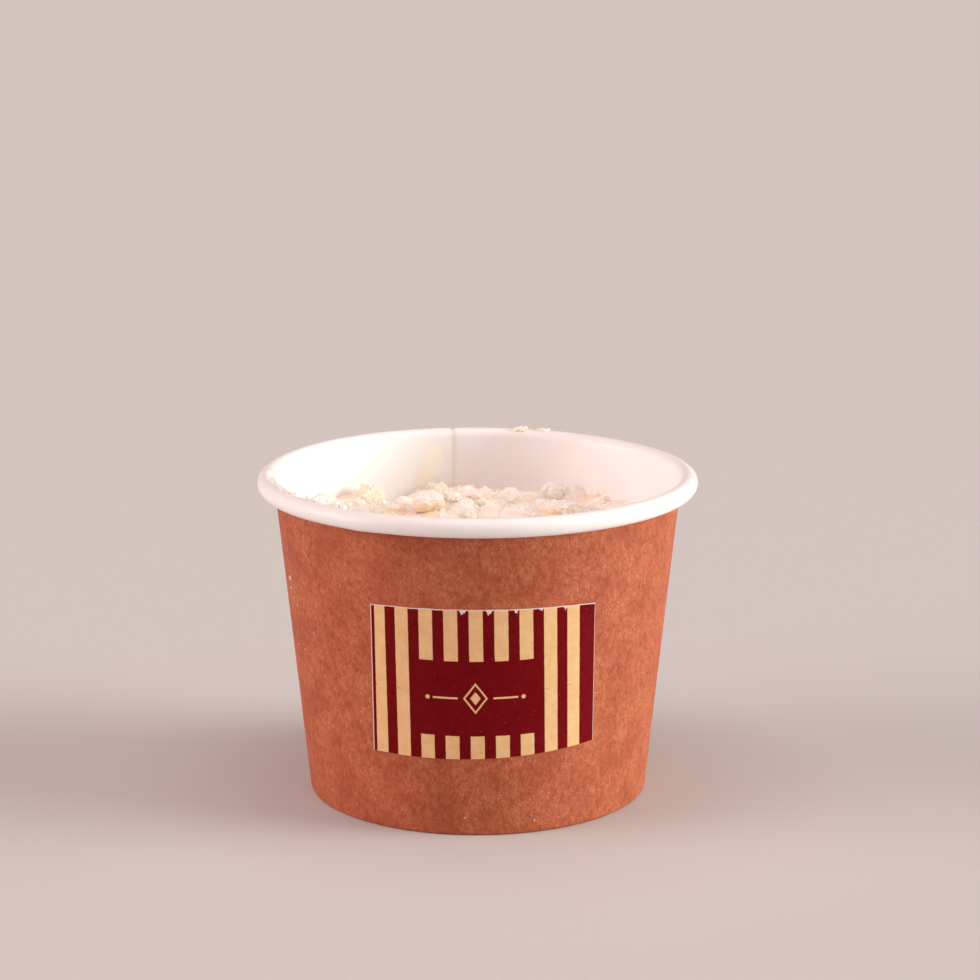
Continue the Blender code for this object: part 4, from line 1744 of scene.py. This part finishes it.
@cache
def strewing_recipe() -> Recipe:
    """Return the tree that strews small rough lumps over a mesh, thickest where `catch` is 1.

    Returns:
        The tree, made once and ready to run on any mesh.
    """
    recipe = Recipe("strewn_powder", {
        "Density": "NodeSocketFloat",
        "Smallest": "NodeSocketFloat",
        "Largest": "NodeSocketFloat",
        "Segments": "NodeSocketInt",
        "Rings": "NodeSocketInt",
        "Roughening": "NodeSocketFloat",
        "Sink": "NodeSocketFloat",
        "Smooth": "NodeSocketBool",
        "Seed": "NodeSocketInt",
        "Proportions": "NodeSocketVector",
    })
    nodes = recipe.nodes
    catch = nodes.add("GeometryNodeInputNamedAttribute", {"data_type": "FLOAT"}, {"Name": "catch"})
    seed = recipe.given("Seed")
    points = nodes.add("GeometryNodeDistributePointsOnFaces", {"distribute_method": "RANDOM"}, {
        "Mesh": recipe.host, "Density": catch * recipe.given("Density"), "Seed": seed,
    })
    skewed = nodes.draw("FLOAT", 0.0, 1.0, seed) ** 2.2
    smallest = recipe.given("Smallest")
    size = smallest + (recipe.given("Largest") - smallest) * skewed
    lumps = nodes.add("GeometryNodeGeometryToInstance")
    for variant in range(4):
        ball = nodes.add("GeometryNodeMeshUVSphere", None, {
            "Radius": 0.5, "Segments": recipe.given("Segments"), "Rings": recipe.given("Rings"),
        })
        apart = (7.3 * variant, 2.9 * variant, 5.1 * variant)
        shifted = nodes.vectors("ADD", nodes.add("GeometryNodeInputPosition"), apart)
        rough = (nodes.noise(shifted, 2.6, 2.0) - 0.5) * recipe.given("Roughening") * 2.0
        offset = nodes.scaled(nodes.add("GeometryNodeInputNormal"), rough)
        worked = nodes.add("GeometryNodeSetPosition", None, {"Geometry": ball, "Offset": offset})
        nodes.tree.links.new(worked.socket, lumps.socket.node.inputs[0])
    spun = nodes.draw("FLOAT_VECTOR", (0.0, 0.0, 0.0), (math.tau, math.tau, math.tau), seed + 1.0)
    uneven = nodes.draw("FLOAT_VECTOR", (0.78, 0.78, 0.78), (1.22, 1.22, 1.22), seed + 2.0)
    stretch = nodes.vectors("MULTIPLY", uneven, recipe.given("Proportions"))
    inward = nodes.scaled(points.other("Normal"), recipe.given("Sink") * size * -1.0)
    sunk = nodes.add("GeometryNodeSetPosition", None, {"Geometry": points, "Offset": inward})
    instances = nodes.add("GeometryNodeInstanceOnPoints", None, {
        "Points": sunk, "Instance": lumps, "Pick Instance": True, "Rotation": spun,
        "Scale": nodes.scaled(stretch, size),
    })
    each_lump = {"data_type": "FLOAT", "domain": "INSTANCE"}
    tinted = nodes.add("GeometryNodeStoreNamedAttribute", each_lump, {
        "Geometry": instances, "Name": "tint", "Value": nodes.draw("FLOAT", 0.0, 0.6, seed + 3.0),
    })
    recipe.end(tinted, recipe.given("Smooth"))
    return recipe


@dataclass
class StrayPowder(SubAssembly):
    """What landed off the sweet: dust and crumbs on the rim, specks and a smear on the walls."""

    dusted: tuple[float, float] = (math.radians(186), math.radians(240))
    dusted_roll: tuple[float, float] = (math.radians(75), math.radians(200))
    dusted_cells: tuple[int, int] = (90, 16)
    crumb_piles: tuple[float, ...] = (math.radians(77.5), math.radians(71.0))
    crumbs_in_pile: int = 12
    crumb_sizes: tuple[float, float] = (0.6, 1.3)       # mm
    crumb_powder: float = 0.35
    crumb_seed: int = 31
    speck_seed: int = 32
    clump_sizes: tuple[float, float] = (0.4, 1.1)       # mm
    clump_seed: int = 33
    specks: tuple[tuple[float, float, float], ...] = (  # azimuth in degrees, height and size in mm
        (-162.1, 39.42, 0.32), (-161.6, 39.22, 0.40), (-161.0, 39.08, 0.30), (-160.2, 38.98, 0.20),
        (-161.9, 37.50, 0.34), (-159.7, 36.02, 0.30), (-157.4, 35.01, 0.22), (-161.4, 27.64, 0.22),
        (-161.5, 26.81, 0.20), (-155.1, 27.59, 0.18), (-147.4, 31.54, 0.20), (-94.2, 3.2, 0.20),
        (-71.5, 2.2, 0.25),
    )
    lip_clumps: tuple[tuple[float, float, int], ...] = (    # azimuth, turn on the roll, count
        (186.0, 105.0, 1), (189.0, 140.0, 5), (193.5, 140.0, 6), (198.0, 130.0, 6),
        (202.5, 122.0, 8), (206.5, 122.0, 6), (211.0, 120.0, 4), (218.0, 118.0, 5),
        (222.5, 116.0, 3), (232.0, 114.0, 2),
    )
    smear_path: tuple[tuple[float, float], ...] = (     # azimuth in degrees and height in mm
        (102.4, 53.1), (103.4, 51.9), (104.3, 50.4), (105.4, 48.8), (106.9, 47.0), (108.2, 45.2),
    )
    smear_width: tuple[float, float] = (3.0 * MM, 5.4 * MM)     # at its upper and its lower end
    smear_thickness: float = 0.07 * MM

    def dust_mesh(self, material: bpy.types.Material) -> bpy.types.Mesh:
        """Return the fine powder along the roll, thickest on its inner lip.

        Args:
            material: What the dust is dressed in.

        Returns:
            The dust as one mesh.
        """
        columns, rows = self.dusted_cells
        points, catch = [], []
        for row in range(rows + 1):
            over = row / rows
            turn = self.dusted_roll[0] + (self.dusted_roll[1] - self.dusted_roll[0]) * over
            for column in range(columns + 1):
                along = column / columns
                azimuth = self.dusted[0] + (self.dusted[1] - self.dusted[0]) * along
                points.append(self.form.on_roll(azimuth, turn))
                drifts = 0.5 + 1.2 * noise.noise(Vector((along * 9.0, over * 2.0, 0.5)))
                ends = smooth(along / 0.15) * smooth((1.0 - along) / 0.45)
                catch.append(max(0.0, drifts) * ends * smooth((over - 0.15) / 0.5))
        mesh = mesh_of(points, grid_faces(rows + 1, columns + 1))
        set_numbers(mesh, "catch", catch)
        return RIM_DUST.over(mesh, material)

    def crumb_mesh(self) -> bpy.types.Mesh:
        """Return the two small piles of crumbs on top of the rim's back.

        Returns:
            The crumbs as one mesh.
        """
        draw = random.Random(self.crumb_seed)
        batch = LumpBatch(draw)
        style = LumpStyle(
            detail=3, flatness=0.55, swell=0.4, grain=0.10 * MM, grain_spacing=0.4 * MM,
        )
        for pile in self.crumb_piles:
            for _ in range(self.crumbs_in_pile):
                azimuth = pile + draw.gauss(0.0, 0.017)
                turn = math.radians(90 + draw.gauss(0.0, 16.0))
                size = draw.uniform(*self.crumb_sizes) * MM
                batch.add(style, self.form.on_roll(azimuth, turn, 0.02 * size), size, 0.3)
        return batch.finish(lambda place, normal: self.crumb_powder)

    def speck_mesh(self) -> bpy.types.Mesh:
        """Return the few specks that cling to the outside of the wall.

        Returns:
            The specks as one mesh.
        """
        batch = LumpBatch(random.Random(self.speck_seed))
        style = LumpStyle(detail=2, flatness=0.8, swell=0.7)
        for azimuth, height, size in self.specks:
            radius = self.form.outer_radius(height * MM) + 0.2 * size * MM
            batch.add(style, polar(radius, math.radians(azimuth), height * MM), size * MM, 0.0)
        return batch.finish()

    def lip_mesh(self) -> bpy.types.Mesh:
        """Return the clumps of powder that hang on the roll's inner lip, on the left.

        Returns:
            The clumps as one mesh.
        """
        draw = random.Random(self.clump_seed)
        batch = LumpBatch(draw)
        style = LumpStyle(
            detail=3, flatness=0.8, swell=0.5, grain=0.16 * MM, grain_spacing=0.35 * MM,
        )
        for azimuth, turn, count in self.lip_clumps:
            for _ in range(count):
                at = math.radians(azimuth + draw.gauss(0.0, 1.0))
                over = math.radians(turn + draw.gauss(0.0, 10.0))
                size = draw.uniform(*self.clump_sizes) * MM
                batch.add(style, self.form.on_roll(at, over, 0.2 * size), size, 0.0)
        return batch.finish()

    def smear_mesh(self) -> bpy.types.Mesh:
        """Return the streak of sweet on the inner wall's back, half sunk in the wall's face.

        Returns:
            The closed streak.
        """
        path = [Vector(place) for place in self.smear_path]
        upper, lower = self.smear_width
        shape = bmesh.new()
        powder, _ = (shape.verts.layers.float.new(name) for name in ("powder", "amber"))
        ball = bmesh.ops.create_icosphere(shape, subdivisions=5, radius=1.0)["verts"]
        for point in ball:
            along, across, off = point.co
            share = (1.0 - along) / 2
            leg = min(int(share * (len(path) - 1)), len(path) - 2)
            azimuth, height = path[leg].lerp(path[leg + 1], share * (len(path) - 1) - leg)
            blunt = 0.0
            if abs(along) < 1.0:
                blunt = math.sqrt((1.0 - along**4) / max(1.0 - along**2, 1e-6))
            ragged = 1.0 + 0.30 * noise.noise(Vector((along * 3.1, 2.0 * across, 8.0)))
            across, off = across * blunt * ragged, off * blunt
            end = 0.9 * along if along > 0.0 else 0.6 * along
            point[powder] = smooth((math.hypot(across, end) - 0.50) / 0.45)
            radius = self.form.inner_radius(height * MM)
            turn = math.radians(azimuth) + across * (upper + (lower - upper) * share) / 2 / radius
            point.co = polar(radius - off * self.smear_thickness, turn, height * MM)
        bmesh.ops.recalc_face_normals(shape, faces=shape.faces)
        return stored(shape)

    def build(self, smeared: bpy.types.Material, powder: bpy.types.Material) -> None:
        """Make the stray pieces and dress them.

        Args:
            smeared: The material of the smear and the rim's crumbs.
            powder: The material of the milk powder.
        """
        self.hand_over(shown(RIM_DUST.name, self.dust_mesh(powder)), Slot.POWDER)
        for name, mesh, material, slot in (
            ("lip_clumps", self.lip_mesh(), powder, Slot.POWDER),
            ("rim_crumbs", self.crumb_mesh(), smeared, Slot.SWEET),
            ("wall_specks", self.speck_mesh(), powder, Slot.POWDER),
            ("wall_smear", self.smear_mesh(), smeared, Slot.SWEET),
        ):
            mesh.materials.append(material)
            self.hand_over(shown(name, mesh), slot)


# ---------------------------------------------------------------- the studio


@dataclass(frozen=True)
class SoftLight:
    """A studio light from far off, so that it lights the floor evenly."""

    name: str
    azimuth: float              # degrees, where it comes from
    elevation: float            # degrees
    spread: float               # degrees, how soft its shadows are
    strength: float
    colour: tuple[float, float, float]

    def build(self) -> None:
        """Hang the light."""
        light = bpy.data.lights.new(self.name, "SUN")
        light.angle = math.radians(self.spread)
        light.energy = self.strength
        light.color = self.colour
        item = bpy.data.objects.new(self.name, light)
        flat = math.cos(math.radians(self.elevation))
        towards = polar(flat, math.radians(self.azimuth), math.sin(math.radians(self.elevation)))
        item.location = towards
        item.rotation_euler = towards.to_track_quat("Z", "Y").to_euler()
        bpy.context.scene.collection.objects.link(item)


@dataclass
class Studio:
    """The pale floor, the soft light and the camera, which looks on as in the photograph."""

    camera_place: tuple[float, float, float] = (0.0, -0.48154, 0.16181)
    camera_dip: float = math.radians(12.846)
    camera_swing: float = 0.0044        # radians, to the right
    lens: float = 105.98                # mm
    sensor: float = 36.0                # mm
    floor_side: float = 12.0
    world: Colour = rgb(1.0, 0.72, 0.70)
    world_strength: float = 0.26
    lights: tuple[SoftLight, ...] = (
        SoftLight("key", -6.0, 23.0, 40.0, 1.44, (0.98, 0.98, 0.84)),
        SoftLight("low_key", -8.0, 6.0, 30.0, 2.75, (0.94, 0.99, 0.93)),
        SoftLight("fill", -158.0, 25.0, 40.0, 0.53, (1.0, 0.81, 0.78)),
        SoftLight("side_fill", -174.0, 22.0, 40.0, 0.83, (1.0, 0.87, 0.81)),
        SoftLight("low_fill", -172.0, 8.0, 30.0, 0.70, (1.0, 0.88, 0.82)),
        SoftLight("top", -90.0, 84.0, 60.0, 1.10, (1.0, 0.83, 0.83)),
    )

    def build(self) -> None:
        """Set up the floor, the world, the lights and the camera."""
        bpy.context.scene.view_settings.view_transform = "Standard"
        shape = bmesh.new()
        bmesh.ops.create_grid(shape, x_segments=4, y_segments=4, size=self.floor_side / 2)
        floor = shown("floor", stored(shape))
        floor.data.materials.append(StudioFloor("studio_floor").material())

        world = bpy.data.worlds.new("studio")
        world.use_nodes = True
        nodes = Nodes(world.node_tree)
        inputs = {"Color": self.world, "Strength": self.world_strength}
        background = nodes.add("ShaderNodeBackground", None, inputs)
        nodes.add("ShaderNodeOutputWorld", None, {"Surface": background})
        bpy.context.scene.world = world

        for light in self.lights:
            light.build()

        camera = bpy.data.cameras.new("camera")
        camera.lens = self.lens
        camera.sensor_width = self.sensor
        item = bpy.data.objects.new("camera", camera)
        item.location = self.camera_place
        item.rotation_euler = (math.pi / 2 - self.camera_dip, 0.0, -self.camera_swing)
        bpy.context.scene.collection.objects.link(item)
        bpy.context.scene.camera = item


def main() -> None:
    """Build and dress the whole cup, in order, and report each piece."""
    logging.basicConfig(level=logging.INFO, format="%(message)s")
    form = CupForm.of_frame()
    kraft = KraftBoard("kraft_board").material()
    white = WhiteBoard("white_board").material()
    cream = SweetCream("brigadeiro_cream").material()
    powder = MilkPowder("milk_powder").material()

    cup, label, sweet, stray = PaperCup(form), StripedLabel(form), Sweet(form), StrayPowder(form)
    cup.build(kraft, white)
    label.build(LabelPrint("label_print").material(), LabelPaper("label_paper").material())
    sweet.build(cream, powder)
    film = rgb(0.96, 0.93, 0.91)
    smeared = SweetCream(
        "brigadeiro_smear", cream=rgb(0.98, 0.94, 0.85), cream_deep=rgb(0.98, 0.89, 0.75),
        powder=film, powder_warm=film,
    )
    stray.build(smeared.material(), powder)
    for assembly in (cup, label, sweet, stray):
        for line in assembly.made:
            LOG.info("%s: %s", type(assembly).__name__, line)
    Studio().build()


if __name__ == "__main__":
    main()
